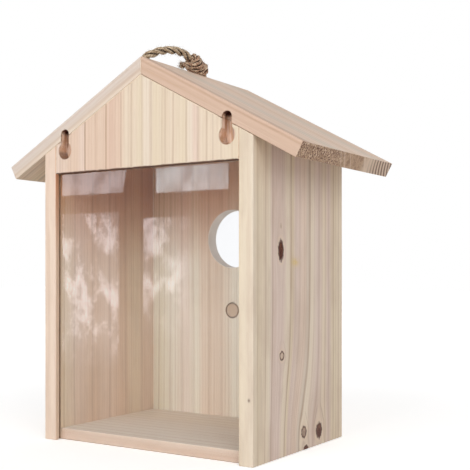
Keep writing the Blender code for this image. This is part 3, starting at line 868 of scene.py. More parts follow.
# %% Finish of the pins
def drawn_steel():
    """Bright drawn wire, with fine scratches along the pin."""
    finish = Finish("drawn_steel")
    x, y, z = finish.place()
    scratch = finish.noise(x * 6, y * 6, z * 6, 3.0, 0.7)
    colour = finish.mix(tone(150, 150, 152), tone(196, 196, 198), scratch)
    finish.surface.inputs["Metallic"].default_value = 1.0
    return finish.show(colour, scratch * 0.3 + 0.25)


steel = drawn_steel()
pins = [node_name for node_name in nodes if node_name.startswith("pin_")]
print("pins:", len(pins))

# %% [markdown]
# ## Put the finishes on the boards
#
# Every node keeps its mesh, and its material is swapped for the finish. A table says which finish
# goes where, so that each piece of the box is named once.

# %% Assign the finishes
def dress(node_name, material):
    """Gives a node of the model its finish."""
    mesh = nodes[node_name].data
    mesh.materials.clear()
    mesh.materials.append(material)


FINISHES = {
    "gable_board": gable_wood,
    "left_wall": left_wood,
    "right_wall": right_wood,
    "entrance_wall": entrance_wood,
    "floor_board": floor_wood,
    "roof_board_left": left_roof_wood,
    "roof_board_right": right_roof_wood,
    "perch_dowel": dowel,
    "window_pane": clear_plastic,
    **dict.fromkeys(pins, steel),
}
for node_name, material in FINISHES.items():
    dress(node_name, material)
print("dressed", len(FINISHES), "nodes of", len(nodes))

# %% [markdown]
# ## New pieces
#
# A new piece is a mesh of points and faces that numpy works out, with its place in the mesh itself.
# Blender's operators could build it too, but they need a selection and a mode. These few functions
# need neither and serve every piece. A new piece rides with the house, as the boards do.

# %% Make meshes and add pieces
def new_mesh(name, points, faces, smooth=False):
    """A mesh of points and faces."""
    mesh = bpy.data.meshes.new(name)
    mesh.from_pydata(np.asarray(points).tolist(), [], faces)
    if smooth:
        mesh.polygons.foreach_set("use_smooth", np.ones(len(mesh.polygons), bool))
    mesh.update()
    return mesh


def closed_mesh(name, rings, poles):
    """A mesh from closed rings of points, with a fan of triangles to a pole at each end."""
    count, around = rings.shape[:2]
    index = np.arange(count * around).reshape(count, around)
    turned = np.roll(index, -1, axis=1)
    quads = np.stack((index[:-1], turned[:-1], turned[1:], index[1:]), axis=-1).reshape(-1, 4)
    first, last = count * around, count * around + 1
    start = np.stack((turned[0], index[0], np.full(around, first)), axis=-1)
    end = np.stack((index[-1], turned[-1], np.full(around, last)), axis=-1)
    points = np.concatenate((rings.reshape(-1, 3), poles))
    mesh = new_mesh(name, points, [*quads.tolist(), *start.tolist(), *end.tolist()])
    face_outwards(mesh)
    return mesh


def face_outwards(mesh):
    """Turns every face of a closed mesh outwards."""
    shape = bmesh.new()
    shape.from_mesh(mesh)
    bmesh.ops.remove_doubles(shape, verts=shape.verts, dist=1e-7)
    bmesh.ops.recalc_face_normals(shape, faces=shape.faces)
    shape.to_mesh(mesh)
    shape.free()


def add_piece(name, mesh, material):
    """A new piece of the box, which rides with the house."""
    piece = bpy.data.objects.new(name, mesh)
    mesh.materials.clear()
    mesh.materials.append(material)
    bpy.context.scene.collection.objects.link(piece)
    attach(piece, "house")
    return piece


# %% [markdown]
# ## The wall with the loose knot
#
# Where a small knot has dried and dropped out, a board has a narrow hole with soft lips. Dark paint
# would be quicker, but a hole's rim catches the light. So the right wall is copied, its loose
# triangles are merged, and a lens-shaped tool is sunk into its outer face. The copy then stands in
# for the wall.

# %% Sink the knot hole
KNOT_HOLE_DEPTH = 1.3


def lens_surface(centre, reach, around=24, rings=12):
    """A closed lens: an ellipse across (Y) and along (Z), with its depth in X, on a grid of
    angle round the axis and angle from pole to pole."""
    turn = np.linspace(0, 2 * np.pi, around, endpoint=False)[None, :]
    fall = np.linspace(0, np.pi, rings + 1)[1:-1, None]
    ripple = 1 + 0.09 * np.sin(3 * turn + 0.6) + 0.05 * np.sin(5 * turn)
    x = centre[0] + reach[0] * np.cos(fall) + 0 * turn
    y = centre[1] + reach[1] * np.sin(fall) * np.cos(turn) * ripple
    z = centre[2] + reach[2] * np.sin(fall) * np.sin(turn) * ripple
    ring_points = np.stack((x, y, z), axis=-1)
    poles = np.array([(centre[0] + reach[0], *centre[1:]), (centre[0] - reach[0], *centre[1:])])
    return ring_points, poles


def wall_with_hole():
    """A copy of the right wall with the loose knot's hole sunk into its outer face."""
    mesh = nodes["right_wall"].data.copy()
    face_outwards(mesh)
    (across, along), (half_width, half_length), _ = LOOSE_KNOT
    centre = np.array((WALL_OUTSIDE + 0.15, across, along)) * MM
    reach = np.array((KNOT_HOLE_DEPTH, half_width * 0.62, half_length * 0.86)) * MM
    tool = bpy.data.objects.new("lens_tool", closed_mesh("lens_tool", *lens_surface(centre, reach)))
    bpy.context.scene.collection.objects.link(tool)
    wall = add_piece("right_wall_board", mesh, right_wood)
    cut = wall.modifiers.new("knot_hole", "BOOLEAN")
    cut.operation = "DIFFERENCE"
    cut.solver = "EXACT"
    cut.object = tool
    graph = bpy.context.evaluated_depsgraph_get()
    finished = bpy.data.meshes.new_from_object(wall.evaluated_get(graph))
    wall.modifiers.clear()
    wall.data = finished
    bpy.data.objects.remove(tool, do_unlink=True)
    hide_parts("right_wall")
    print("right wall:", len(finished.vertices), "points,", len(finished.polygons), "faces")


wall_with_hole()

# %% [markdown]
# ## Glue in the joints
#
# The boards meet in glued butt joints. Set glue and sawing dust fill each 0.3 mm joint almost to the
# face, so a joint shows as a soft brown line. Without a filling it would be a black slit, which no
# glued box has. Each film is a thin closed slab that follows its joint.

# %% Fill the joints
FILM_INSET = 0.03
JOINT_GAP = 0.3
START_BESIDE_RIDGE = 0.1
START_ABOVE_BASE = 0.5
KEYHOLE_DEPTH = 7.2
KEYHOLE_REACH = 5.6


def under_roof(x, gap):
    """The height just below the roof boards: the ridge height, less x times the slope, less the
    board's thickness and the gap measured straight down."""
    slope = math.tan(ROOF_PITCH)
    return RIDGE_HEIGHT - abs(x) * slope - (ROOF_THICKNESS + gap) / math.cos(ROOF_PITCH)


def film_outlines():
    """Each film as its four corners (x, z) and the places (y) where it starts and ends."""
    wall = (WINDOW_FACE, ENTRANCE_FACE)
    gable = (WINDOW_FACE, gable_high[1])
    behind_keyhole = (WINDOW_FACE + KEYHOLE_DEPTH, gable_high[1])
    entrance = (entrance_low[1], ENTRANCE_FACE)
    half, under, over = JOINT_GAP / 2, under_roof(0, 0), RIDGE_HEIGHT - JOINT_GAP
    ridge_corners = ((-half, under), (half, under), (half, over), (-half, over))
    films = [(ridge_corners, (roof_low[1], roof_high[1]))]
    near_hole, past_hole = KEYHOLE_CENTRE - KEYHOLE_REACH, KEYHOLE_CENTRE + KEYHOLE_REACH
    spans = (
        (WALL_INSIDE, WALL_OUTSIDE - JOINT_GAP, wall), (START_BESIDE_RIDGE, WALL_INSIDE, entrance),
        (START_BESIDE_RIDGE, near_hole, gable), (near_hole, past_hole, behind_keyhole),
        (past_hole, WALL_INSIDE, gable),
    )
    inner, top = WALL_INSIDE - JOINT_GAP, under_roof(WALL_INSIDE, 0)
    uprights = (
        (gable_low[2], top, gable), (START_ABOVE_BASE, top, entrance),
        (START_ABOVE_BASE, floor_high[2], (floor_low[1], floor_high[1])),
    )
    for side in (-1, 1):
        for near, far, run in spans:
            corners = ((near, JOINT_GAP), (far, JOINT_GAP), (far, 0), (near, 0))
            films.append((tuple((side * x, under_roof(x, gap)) for x, gap in corners), run))
        for low, high, run in uprights:
            corners = ((inner, low), (WALL_INSIDE, low), (WALL_INSIDE, high), (inner, high))
            films.append((tuple((side * x, z) for x, z in corners), run))
    return films


def film_mesh():
    """All the films in one mesh, each a box with its ends a little inside the wood."""
    points = []
    for outline, (start, end) in film_outlines():
        for y in (start + FILM_INSET, end - FILM_INSET):
            points += [(x, y, z) for x, z in outline]
    count = len(points) // 8
    box = np.array(((0, 1, 2, 3), (7, 6, 5, 4), (0, 4, 5, 1), (1, 5, 6, 2), (2, 6, 7, 3), (3, 7, 4, 0)))
    faces = (box[None] + 8 * np.arange(count)[:, None, None]).reshape(-1, 4)
    mesh = new_mesh("glue_films", np.array(points) * MM, faces.tolist())
    face_outwards(mesh)
    return mesh


def set_glue():
    """Brown set glue with dust in it."""
    finish = Finish("set_glue")
    x, y, z = finish.place()
    dust = finish.noise(x * 0.5, y * 0.5, z * 0.5, 4.0, 0.7)
    colour = finish.mix(tone(218, 188, 158), tone(240, 220, 196), dust.step(0.3, 0.55))
    finish.relief(dust, 0.1 * MM)
    return finish.show(colour, dust * 0.3 + 0.5)


glue = add_piece("glue_films", film_mesh(), set_glue())
print("glue films:", len(glue.data.polygons) // 6)

# %% [markdown]
# ## Twisted jute rope
#
# The loop is 4.8 mm jute: three strands turned round each other, each of a few thick yarns. It could
# be a bent cylinder with a bump pattern, but a rope's outline is lumpy, and that shows against a
# plain background. So the rope is one surface, carried along its route: every ring of points goes
# round the outside of the three strands, and the strands turn as the ring moves on.

# %% The rope's route
ROPE_DIAMETER = 4.8 * MM
ROPE_SPACING = 0.45 * MM
RIDGE_START = np.array((0.0, WINDOW_FACE * MM, RIDGE_HEIGHT * MM))
ROPE_ROUTE = (
    (-0.00750, 0.07300, -0.00360), (-0.00750, 0.07300, -0.00740),
    (-0.00750, 0.07300, -0.01100), (-0.00751, 0.07236, -0.01463),
    (-0.00758, 0.07052, -0.01781), (-0.00775, 0.06770, -0.02018),
    (-0.00810, 0.06424, -0.02144), (-0.00850, 0.06040, -0.02179),
    (-0.00900, 0.05660, -0.02208), (-0.01010, 0.04840, -0.02271),
    (-0.01110, 0.04020, -0.02334), (-0.01200, 0.03200, -0.02397),
    (-0.01235, 0.02810, -0.02427), (-0.01260, 0.02425, -0.02457),
    (-0.01280, 0.02048, -0.02419), (-0.01292, 0.01717, -0.02258),
    (-0.01300, 0.01461, -0.01993), (-0.01300, 0.01316, -0.01674),
    (-0.01300, 0.01280, -0.01240), (-0.01300, 0.01280, -0.00820),
    (-0.01280, 0.01290, -0.00410), (-0.01190, 0.01380, -0.00010),
    (-0.01020, 0.01560, 0.00300), (-0.00830, 0.01810, 0.00540),
    (-0.00640, 0.02150, 0.00740), (-0.00470, 0.02600, 0.00920),
    (-0.00330, 0.03100, 0.01040), (-0.00230, 0.03580, 0.01100),
    (-0.00160, 0.04020, 0.01090), (-0.00120, 0.04440, 0.01020),
    (-0.00120, 0.04840, 0.00900),
)
KNOT_CORE_ROUTE = (
    (-0.0012, 0.0487, 0.0089), (-0.0018, 0.0534, 0.0071), (-0.0029, 0.0582, 0.0057),
    (-0.0039, 0.0626, 0.0051), (-0.0049, 0.0666, 0.0044), (-0.0061, 0.0701, 0.0029),
    (-0.0072, 0.0723, 0.0001), (-0.0075, 0.0730, -0.0020), (-0.0075, 0.0730, -0.0033),
)
KNOT_TAIL_ROUTE = (
    (-0.0016, 0.0570, 0.0056), (-0.0013, 0.0520, 0.0051), (-0.0010, 0.0474, 0.0041),
    (-0.0009, 0.0434, 0.0032), (-0.0008, 0.0406, 0.0030),
)


def lengths_along(path):
    """The distance travelled at each point of a path."""
    return np.concatenate(((0.0,), np.cumsum(np.linalg.norm(np.diff(path, axis=0), axis=1))))


def smooth_path(route, spacing):
    """Points at an even spacing on the Catmull-Rom curve through a route: between two points, the
    cubic whose slope at each point is half the way from its neighbour before to the one after."""
    placed = np.array(route) + RIDGE_START
    ends = np.vstack((2 * placed[0] - placed[1], placed, 2 * placed[-1] - placed[-2]))
    before, start, end, after = (ends[shift:len(ends) - 3 + shift, None, :] for shift in range(4))
    t = np.linspace(0, 1, 24, endpoint=False)[None, :, None]
    bend = 2 * before - 5 * start + 4 * end - after
    rest = 3 * start - before - 3 * end + after
    fine = ((2 * start + (end - before) * t + bend * t**2 + rest * t**3) / 2).reshape(-1, 3)
    fine = np.vstack((fine, placed[-1]))
    travelled = lengths_along(fine)
    goals = np.linspace(0, travelled[-1], max(3, round(travelled[-1] / spacing) + 1))
    return np.stack([np.interp(goals, travelled, fine[:, axis]) for axis in range(3)], axis=-1)


rope_path = smooth_path(ROPE_ROUTE, ROPE_SPACING)
print("rope:", len(rope_path), "rings,", round(float(lengths_along(rope_path)[-1]), 4), "m")

# %% [markdown]
# ## The rope's surface
#
# One ring of points goes round three strands that just touch, and each strand's outline carries its
# yarns. Three tubes would look the same, but most of their surface would lie inside the rope.

# %% Carry the rings along a path
ROPE_LAY = 19 * MM
YARN_LAY = 12 * MM
POINTS_PER_STRAND = 18
STRAND_ARC = math.radians(134)


def unit(vectors):
    """Vectors scaled to a length of 1."""
    return vectors / np.linalg.norm(vectors, axis=-1, keepdims=True)


def directions(path, reference):
    """Sideways and upward directions at each point of a path, both square to it, with sideways as
    near as it can be to a reference direction."""
    forward = unit(np.gradient(path, axis=0))
    sideways = unit(reference - forward * np.sum(reference * forward, axis=1, keepdims=True))
    return sideways, np.cross(forward, sideways)


def rope_rings(path, reference, diameter, lay=ROPE_LAY, seed=3):
    """Rings round the outside of three strands that turn about a path.

    A strand's radius is 0.464 of the rope's, and its middle stands 0.536 of it from the path, so
    that the strands just touch. On each strand the surface goes out and back by a few percent with
    the yarns, which turn the other way, and with slow unevenness along the rope.
    """
    along = lengths_along(path)[:, None, None]
    sideways, upward = directions(path, reference)
    strand = np.arange(3)[None, :, None]
    arc = np.linspace(-STRAND_ARC, STRAND_ARC, POINTS_PER_STRAND)[None, None, :]
    chance = np.random.default_rng(seed)
    shift = chance.uniform(0, 2 * np.pi, (1, 3, 1))
    thick = 1 + 0.035 * np.sin(along / (3.1 * MM) + shift) + 0.03 * np.sin(along / (1.3 * MM) + 2 * shift)
    yarns = 1 + 0.085 * np.cos(5 * arc + 2 * np.pi * along / YARN_LAY + shift)
    yarns = yarns + 0.025 * np.cos(11 * arc + 2 * np.pi * along / (0.6 * YARN_LAY) + 3 * shift)
    middle_angle = 2 * np.pi * (strand / 3 + along / lay)
    middle, radius = 0.536 * diameter / 2, 0.464 * diameter / 2 * thick * yarns
    a = middle * np.cos(middle_angle) + radius * np.cos(middle_angle + arc)
    b = middle * np.sin(middle_angle) + radius * np.sin(middle_angle + arc)
    a, b = (np.reshape(part, (len(path), -1, 1)) for part in (a, b))
    rings = path[:, None, :] + a * sideways[:, None, :] + b * upward[:, None, :]
    depth = np.broadcast_to(np.abs(arc) / STRAND_ARC, (len(path), 3, POINTS_PER_STRAND))
    return rings, depth.reshape(len(path), -1)


print("points round the rope:", 3 * POINTS_PER_STRAND)

# %% [markdown]
# ## The rope's own map
#
# A pattern that follows the rope has to know how far along it and how far round it a point lies. A
# map worked out with the rings says so exactly, where an unwrapped one would only come near.

# %% Put the rings into a mesh
def rope_mesh(name, parts):
    """One mesh of several tubes of rings. Its map runs along the rope in U and round it in V, and an
    attribute says how deep a point lies between the strands."""
    points, faces, maps, hollows, offset = [], [], [], [], 0
    for rings, depth in parts:
        count, around = rings.shape[:2]
        index = np.arange(count * around).reshape(count, around) + offset
        turned = np.roll(index, -1, axis=1)
        quads = np.stack((index[:-1], index[1:], turned[1:], turned[:-1]), axis=-1)
        along = lengths_along(rings.mean(axis=1))[:, None] / (10 * MM) + 0 * np.arange(around)
        round_share = np.arange(around)[None, :] / around + 0 * along
        next_share = round_share + 1 / around
        corner = ((along[:-1], round_share[:-1]), (along[1:], round_share[1:]),
                  (along[1:], next_share[1:]), (along[:-1], next_share[:-1]))
        maps.append(np.stack([np.stack(pair, axis=-1) for pair in corner], axis=2).reshape(-1, 2))
        caps = (rings[0].mean(axis=0), rings[-1].mean(axis=0))
        first, last = offset + count * around, offset + count * around + 1
        start = np.stack((np.full(around, first), index[0], turned[0]), axis=-1)
        end = np.stack((np.full(around, last), turned[-1], index[-1]), axis=-1)
        points.append(np.vstack((rings.reshape(-1, 3), caps)))
        faces += [*quads.reshape(-1, 4).tolist(), *start.tolist(), *end.tolist()]
        maps.append(np.zeros((6 * around, 2)))
        hollows.append(np.concatenate((depth.reshape(-1), (0.4, 0.4))))
        offset += count * around + 2
    mesh = new_mesh(name, np.vstack(points), faces, smooth=True)
    layer = mesh.uv_layers.new(name="along_and_round")
    layer.data.foreach_set("uv", np.vstack(maps).astype(np.float32).ravel())
    hollow = mesh.attributes.new("hollow", "FLOAT", "POINT")
    hollow.data.foreach_set("value", np.concatenate(hollows).astype(np.float32))
    return mesh


SIDEWAYS = np.array((1.0, 0.0, 0.0))
loop_mesh = rope_mesh("jute_rope", [rope_rings(rope_path, SIDEWAYS, ROPE_DIAMETER)])
print("faces of the loop:", len(loop_mesh.polygons))

# %% [markdown]
# ## Jute
#
# Jute is a coarse bast fibre: straw-coloured and slightly glossy on top, with painted shade, dark brown, in
# the grooves between the strands.
# A pattern in space would cut across the strands. This one is drawn on the rope's own map, so that
# the fibres run along the strands and turn with them.

# %% Finish of the jute
JUTE_PALE = tone(246, 226, 196)
JUTE_MIDDLE = tone(152, 126, 98)
JUTE_BROWN = tone(90, 58, 40)
JUTE_SPECK_AND_GROOVE_SHADE = tone(34, 20, 14)
KNOT_JUTE_MIDDLE = tone(170, 122, 96)
KNOT_JUTE_BROWN = tone(92, 50, 38)


def jute_fibre(name, middle, brown, speckle):
    """Fibres drawn along the rope's own map, with painted shade between the strands, and light specks."""
    finish = Finish(name)
    along, round_share, _ = finish.parts(finish.coordinates.outputs["UV"])
    x, y, z = finish.place()
    turned = round_share + along * (10 * MM / ROPE_LAY)
    fibre = finish.noise(along * 2.6, turned * 46, 0.0, 4.0, 0.72)
    patch = finish.noise(x * 0.5, y * 0.5, z * 0.5, 3.0)
    speck = finish.noise(x * 1.9, y * 1.9, z * 1.9, 2.0, 0.6)
    hollow = Field(finish.tree, finish.add("ShaderNodeAttribute", attribute_name="hollow").outputs["Fac"])
    colour = finish.layers(
        middle,
        (JUTE_PALE, fibre.step(0.48, 0.6)),
        (brown, fibre.fall(0.34, 0.46) * 0.95),
        (brown, patch.step(0.5, 0.75) * 0.4),
        (JUTE_PALE, speck.step(0.56, 0.66) * speckle),
        (JUTE_SPECK_AND_GROOVE_SHADE, speck.fall(0.34, 0.42) * speckle),
        # Painted shade: darker the deeper a point lies between the strands.
        (JUTE_SPECK_AND_GROOVE_SHADE, hollow.step(0.56, 0.88)),
    )
    finish.relief(fibre + speck * speckle, 0.2 * MM)
    return finish.show(colour, fibre * 0.3 + 0.55, 0.3)


rope_jute = jute_fibre("rope_jute", JUTE_MIDDLE, JUTE_BROWN, 0.45)
knot_jute = jute_fibre("knot_jute", KNOT_JUTE_MIDDLE, KNOT_JUTE_BROWN, 1.0)
print("jute nodes:", len(rope_jute.node_tree.nodes))

# %% [markdown]
# ## The loop
#
# The laid rope takes the place of the plain tube in the model and follows the same route: from the
# back hole under the roof, up through the front hole and over the ridge to the knot. A real loop
# gives way to a hand. It could be simulated, but at rest it only keeps the curve that it was tied in.

# %% Lay the loop
rope = add_piece("jute_rope", loop_mesh, rope_jute)
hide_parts("rope_handle")
print("the loop rises to", round(float(rope_path[:, 2].max()) / MM, 1), "mm")

# %% [markdown]
# ## The knot
#
# The knot sits on the ridge: three and a half turns of the rope, pulled tight round the strand that
# goes down into the back hole. The cut end lies forward along the ridge. A tied knot is one tangle,
# but only its outer turns show, so they are wound as a helix round a short core.

# %% Tie the knot
CORE_SPACING = 0.5 * MM
TAIL_SPACING = 0.4 * MM
WRAP_TURNS = 3.5
WRAP_RINGS = 170
WRAP_PITCH = 4.3 * MM
WRAP_RADIUS = 3.85 * MM
WRAP_START = 2.6 * MM
WRAP_STRAND = 4.0 * MM
WRAP_LAY = 13 * MM
TAIL_DIAMETER = 4.2 * MM
TAIL_LAY = 24 * MM


def wrap_path(core):
    """A helix about the core: the angle grows by a whole turn for every WRAP_PITCH along it."""
    travelled = lengths_along(core)
    turn = np.linspace(0, WRAP_TURNS, WRAP_RINGS)
    goal = WRAP_START + WRAP_PITCH * turn
    centre = np.stack([np.interp(goal, travelled, core[:, axis]) for axis in range(3)], axis=-1)
    forward = unit(np.gradient(centre, axis=0))
    sideways = unit(np.cross(forward, (0.0, 0.0, 1.0)))
    upward = np.cross(sideways, forward)
    angle = (2 * np.pi * turn - np.pi / 2)[:, None]
    outward = np.cos(angle) * sideways + np.sin(angle) * upward
    return centre + WRAP_RADIUS * outward, outward


core_path = smooth_path(KNOT_CORE_ROUTE, CORE_SPACING)
tail_path = smooth_path(KNOT_TAIL_ROUTE, TAIL_SPACING)
wraps, wraps_outward = wrap_path(core_path)
knot_parts = [
    rope_rings(core_path, SIDEWAYS, ROPE_DIAMETER, seed=5),
    rope_rings(wraps, wraps_outward, WRAP_STRAND, lay=WRAP_LAY, seed=8),
    rope_rings(tail_path, SIDEWAYS, TAIL_DIAMETER, lay=TAIL_LAY, seed=11),
]
knot = add_piece("jute_knot", rope_mesh("jute_knot", knot_parts), knot_jute)
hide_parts("rope_knot")
print("knot faces:", len(knot.data.polygons))

# %% [markdown]
# ## Loose fibres
#
# Jute sheds short stiff hairs, which tell rope from cord at a glance. Blender's hair could draw
# them, but hair isn't a mesh, and would be missing wherever the meshes are used. So about a thousand
# thin curved spikes stand out from the rope and the knot and, as a tuft, from the cut end.

# %% Grow the fibres
FIBRE_RADIUS = 0.055 * MM
FIBRE_STEPS = 5
ROOT_SHARE = 0.46
TUFT_FIBRES = 420


def fibre_mesh(name, roots, outward, lean, length):
    """Thin three-sided spikes. A fibre's middle line is root + length * (t * outward + t squared *
    lean), its radius shrinks as 1 - 0.85 t, and its ends are closed with a triangle."""
    t = np.linspace(0, 1, FIBRE_STEPS)[None, :, None]
    reach = length[:, None, None]
    middle = roots[:, None, :] + reach * (t * outward[:, None, :] + t**2 * lean[:, None, :])
    side = unit(np.cross(outward, np.array((0.31, 0.27, 0.91))))[:, None, None, :]
    other = unit(np.cross(outward[:, None, None, :], side))
    angle = np.array((0.0, 2.0944, 4.1888))[None, None, :, None]
    radius = (FIBRE_RADIUS * (1 - 0.85 * t))[..., None]
    points = middle[:, :, None, :] + radius * (np.cos(angle) * side + np.sin(angle) * other)
    index = np.arange(points.shape[0] * FIBRE_STEPS * 3).reshape(-1, FIBRE_STEPS, 3)
    turned = np.roll(index, -1, axis=2)
    quads = np.stack((index[:, :-1], turned[:, :-1], turned[:, 1:], index[:, 1:]), axis=-1).reshape(-1, 4)
    ends = np.vstack((index[:, 0, ::-1], index[:, -1]))
    return new_mesh(name, points.reshape(-1, 3), [*quads.tolist(), *ends.tolist()], smooth=True)


def fibre_roots(path, radius, count, chance):
    """Places on a tube's surface and the directions square to it there."""
    where = chance.integers(1, len(path) - 1, count)
    forward = unit(path[where + 1] - path[where - 1])
    loose = unit(chance.normal(size=(count, 3)))
    outward = unit(loose - forward * np.sum(loose * forward, axis=1, keepdims=True))
    return path[where] + outward * radius, outward, forward


def fibre_jute():
    """Single fibres, some bleached and some dark."""
    finish = Finish("single_fibres")
    x, y, z = finish.place()
    patch = finish.noise(x * 1.1, y * 1.1, z * 1.1, 2.0)
    colour = finish.mix(JUTE_BROWN, JUTE_PALE, patch.step(0.38, 0.6))
    return finish.show(colour, patch * 0.3 + 0.5)


def grow_fibres():
    """Fibres on the loop, on the knot and at the cut end."""
    chance = np.random.default_rng(21)
    above = rope_path[rope_path[:, 2] > RIDGE_HEIGHT * MM - 2 * MM]
    roots, outs, leans, lengths = [], [], [], []
    for path, radius, count, longest in (
        (above, ROOT_SHARE * ROPE_DIAMETER, 260, 2.8), (wraps, ROOT_SHARE * WRAP_STRAND, 320, 2.6),
        (tail_path, ROOT_SHARE * TAIL_DIAMETER, 90, 2.4),
    ):
        root, out, forward = fibre_roots(path, radius, count, chance)
        sign = chance.choice((-1.0, 1.0), (count, 1))
        roots.append(root)
        outs.append(unit(out * chance.uniform(0.25, 0.9, (count, 1)) + forward * sign))
        leans.append(0.6 * unit(chance.normal(size=(count, 3))))
        lengths.append(chance.uniform(0.8, longest, count) * MM)
    tip = tail_path[-1]
    ahead = unit(tail_path[-1] - tail_path[-4])
    count = TUFT_FIBRES
    spread = unit(chance.normal(size=(count, 3))) * chance.uniform(0.1, 1.75, (count, 1)) * MM
    roots.append(tip - ahead * 1.4 * MM + spread)
    outs.append(unit(ahead + 0.5 * spread / MM + 0.25 * unit(chance.normal(size=(count, 3)))))
    leans.append(0.3 * unit(chance.normal(size=(count, 3))))
    lengths.append(chance.uniform(1.6, 3.8, count) * MM)
    grown = [np.concatenate(group) for group in (roots, outs, leans, lengths)]
    fibres = add_piece("jute_fibres", fibre_mesh("jute_fibres", *grown), fibre_jute())
    print("loose fibres:", len(grown[0]))
    return fibres


fibres = grow_fibres()

# %% [markdown]
# ## Floor and backdrop
#
# The box stands on a white floor before a white background. The floor is a matt sheet that the
# lamps light and the box shades. It is lifted towards full white only as the camera sees it, and
# more so away from the box: near it the shadow shows, and far off no horizon does. The sky is white
# where it is seen too, and gives the box a softer, weaker light than the white that shows.

# %% Lay the floor
FLOOR_HALF = 4.0
FLOOR_HEIGHT = -0.1 * MM
NEAR_LIFT = 0.42
FAR_LIFT = 0.62
LIFT_RUN = (150, 600)
SKY_LIGHT = 0.43
WHITE = (1.0, 1.0, 1.0, 1.0)


def seen_directly(tree):
    """1 for rays from the camera and for rays that mirrors and glass send on."""
    path = tree.nodes.new("ShaderNodeLightPath")
    names = ("Is Camera Ray", "Is Glossy Ray", "Is Transmission Ray")
    camera, glossy, passing = (Field(tree, path.outputs[name]) for name in names)
    return camera.most(glossy).most(passing)


def add_sheet(name, corners, material):
    """A flat sheet between four corners, which are in metres."""
    mesh = new_mesh(name, corners, [(0, 1, 2, 3)])
    mesh.materials.append(material)
    sheet = bpy.data.objects.new(name, mesh)
    bpy.context.scene.collection.objects.link(sheet)
    return sheet


def floor_paper():
    """Matt white paper, with extra white for the camera and for what glass and metal show."""
    finish = Finish("white_paper")
    x, y, z = finish.place()
    mottle = finish.noise(x * 0.004, y * 0.004, 0.0, 2.0)
    white = finish.mix(tone(246, 246, 246), tone(250, 250, 250), mottle)
    finish.surface.inputs["Emission Color"].default_value = WHITE
    far = distance(x, y).step(*LIFT_RUN, NEAR_LIFT, FAR_LIFT)
    feed(finish.tree, finish.surface.inputs["Emission Strength"], seen_directly(finish.tree) * far)
    return finish.show(white, 0.9, 0.0)


def add_floor():
    """A wide sheet just below the box."""
    signs = ((-1, -1), (1, -1), (1, 1), (-1, 1))
    corners = [(x * FLOOR_HALF, y * FLOOR_HALF, FLOOR_HEIGHT) for x, y in signs]
    floor = add_sheet("floor", corners, floor_paper())
    floor.visible_glossy = False


def add_sky():
    """White where it is seen, and a weaker even light where it lights the box."""
    world = bpy.data.worlds.new("studio")
    world.use_nodes = True
    tree = world.node_tree
    tree.nodes.clear()
    background = tree.nodes.new("ShaderNodeBackground")
    background.inputs["Color"].default_value = WHITE
    feed(tree, background.inputs["Strength"], seen_directly(tree) * (1.0 - SKY_LIGHT) + SKY_LIGHT)
    output = tree.nodes.new("ShaderNodeOutputWorld")
    tree.links.new(background.outputs[0], output.inputs["Surface"])
    bpy.context.scene.world = world


add_floor()
add_sky()
print("floor:", 2 * FLOOR_HALF, "m wide; light of the sky:", SKY_LIGHT)

# %% [markdown]
# ## Lamps
#
# A large soft lamp stands in front, a little to the left and not much higher than the box, so that
# its light reaches the far wall through the window. A second to the right lights the right wall, and
# a weak, low one behind gives the entrance side some form. All are far wider than the box, so the
# shadows have no hard edges. A bright sky alone would be simpler, but nothing casts a shadow there.

# %% Hang the lamps
BOX_MIDDLE = (0.0, 0.0, 0.11)
LAMP_WIDTH = 1.0
LAMPS = (
    ("key_lamp", (-0.2, -1.65, 0.48), 10.5),
    ("side_lamp", (1.2, -1.0, 0.7), 9.6),
    ("back_lamp", (0.0, 1.6, 0.3), 5.0),
)


def add_lamp(name, place, power):
    """A square lamp that faces the middle of the box."""
    data = bpy.data.lights.new(name, "AREA")
    data.size = LAMP_WIDTH
    data.energy = power
    lamp = bpy.data.objects.new(name, data)
    lamp.location = place
    away = np.array(place) - np.array(BOX_MIDDLE)
    flat = math.hypot(away[0], away[1])
    lamp.rotation_euler = (math.atan2(flat, away[2]), 0, math.atan2(away[0], -away[1]))
    bpy.context.scene.collection.objects.link(lamp)


for lamp_name, lamp_place, lamp_power in LAMPS:
    add_lamp(lamp_name, lamp_place, lamp_power)
print("lamps:", len(LAMPS), "of", LAMP_WIDTH, "m")

# %% [markdown]
# ## What the pane reflects
#
# A clear pane before a white studio would show an even haze. A glazed door or window in the room
# shows in it instead: four bright fields between dark bars, even above and broken below by the
# shapes of leaves. A card in front of the box carries them. Only mirror rays see the card, so it
# lights nothing.

# %% Set up the reflected window
CARD_Y = -1.2
CARD_CORNERS = ((-2000, -700), (500, -700), (500, 900), (-2000, 900))
FIELD_EDGE = 5.0
LEFT_START = -1171
UPPER_LEFT_END, UPPER_LEFT_HEIGHTS, UPPER_LEFT_LEAN = (-976, -970), (283, 333), 0.205
UPPER_RIGHT_SIDES, UPPER_RIGHT_HEIGHTS = (-886, -701), (277, 326)
LOWER_LEFT_END, LOWER_LEFT_FOOT, LOWER_LEFT_TOP = (-998, -992), (-132, -20), (234, 240)
LOWER_RIGHT_SIDES, LOWER_RIGHT_FOOT, LOWER_RIGHT_TOP = (-922, -674), (-60, 90), (217, 223)
LOWER_RIGHT_FADE = (-850, -790)
UPPER_GLOW = 5.2
LOWER_GLOW = 6.5
BAR_GLOW = 0.15
FIELD_WHITE, FIELD_BLUE = tone(246, 243, 248), tone(238, 250, 255)


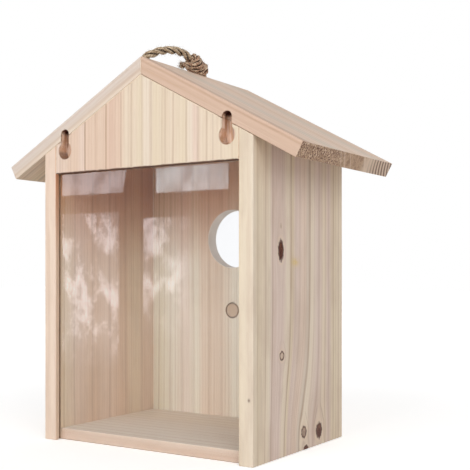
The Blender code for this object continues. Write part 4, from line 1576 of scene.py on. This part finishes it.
def bright_fields():
    """Four bright fields between dark bars, each the product of its soft edges."""
    finish = Finish("bright_fields")
    x, y, z = finish.place()
    left_start = x.step(LEFT_START - FIELD_EDGE, LEFT_START)
    upright = x - (z - UPPER_LEFT_HEIGHTS[1]) * UPPER_LEFT_LEAN
    upper_left = left_start * upright.fall(*UPPER_LEFT_END) * z.within(*UPPER_LEFT_HEIGHTS, FIELD_EDGE)
    upper_right = x.within(*UPPER_RIGHT_SIDES, FIELD_EDGE) * z.within(*UPPER_RIGHT_HEIGHTS, FIELD_EDGE)
    lower_left = left_start * x.fall(*LOWER_LEFT_END) * z.step(*LOWER_LEFT_FOOT) * z.fall(*LOWER_LEFT_TOP)
    lower_right = z.step(*LOWER_RIGHT_FOOT) * z.fall(*LOWER_RIGHT_TOP) * x.step(*LOWER_RIGHT_FADE, 1.0, 0.05)
    lower_right = lower_right * x.within(*LOWER_RIGHT_SIDES, FIELD_EDGE)
    cloud = finish.noise(x * 0.014 + 4, 0.0, z * 0.011, 5.0, 0.66)
    upper = (upper_left + upper_right * 1.5) * cloud.step(0.38, 0.6, 0.5, 1.1) * UPPER_GLOW
    lower = (lower_left + lower_right) * cloud.step(0.46, 0.62, 0.22, 1.2) * LOWER_GLOW
    finish.tree.nodes.remove(finish.surface)
    light = finish.mix(FIELD_WHITE, FIELD_BLUE, upper_right)
    glow = finish.add("ShaderNodeEmission", {"Color": light, "Strength": upper + lower + BAR_GLOW})
    feed(finish.tree, finish.tree.nodes["Material Output"].inputs["Surface"], glow.outputs[0])
    return finish.material


def add_card():
    """An upright card before the box that only mirror rays see."""
    corners = [(x * MM, CARD_Y, z * MM) for x, z in CARD_CORNERS]
    card = add_sheet("reflected_card", corners, bright_fields())
    for ray in ("camera", "diffuse", "transmission", "volume_scatter", "shadow"):
        setattr(card, f"visible_{ray}", False)


add_card()
print("card at y =", CARD_Y, "m")

# %% [markdown]
# ## Sizes
#
# The dressed box has to be as large as the model. It may differ only where loose fibres rise above
# the rope.

# %% [markdown]
# ## Finish
#
# Everything is in place.
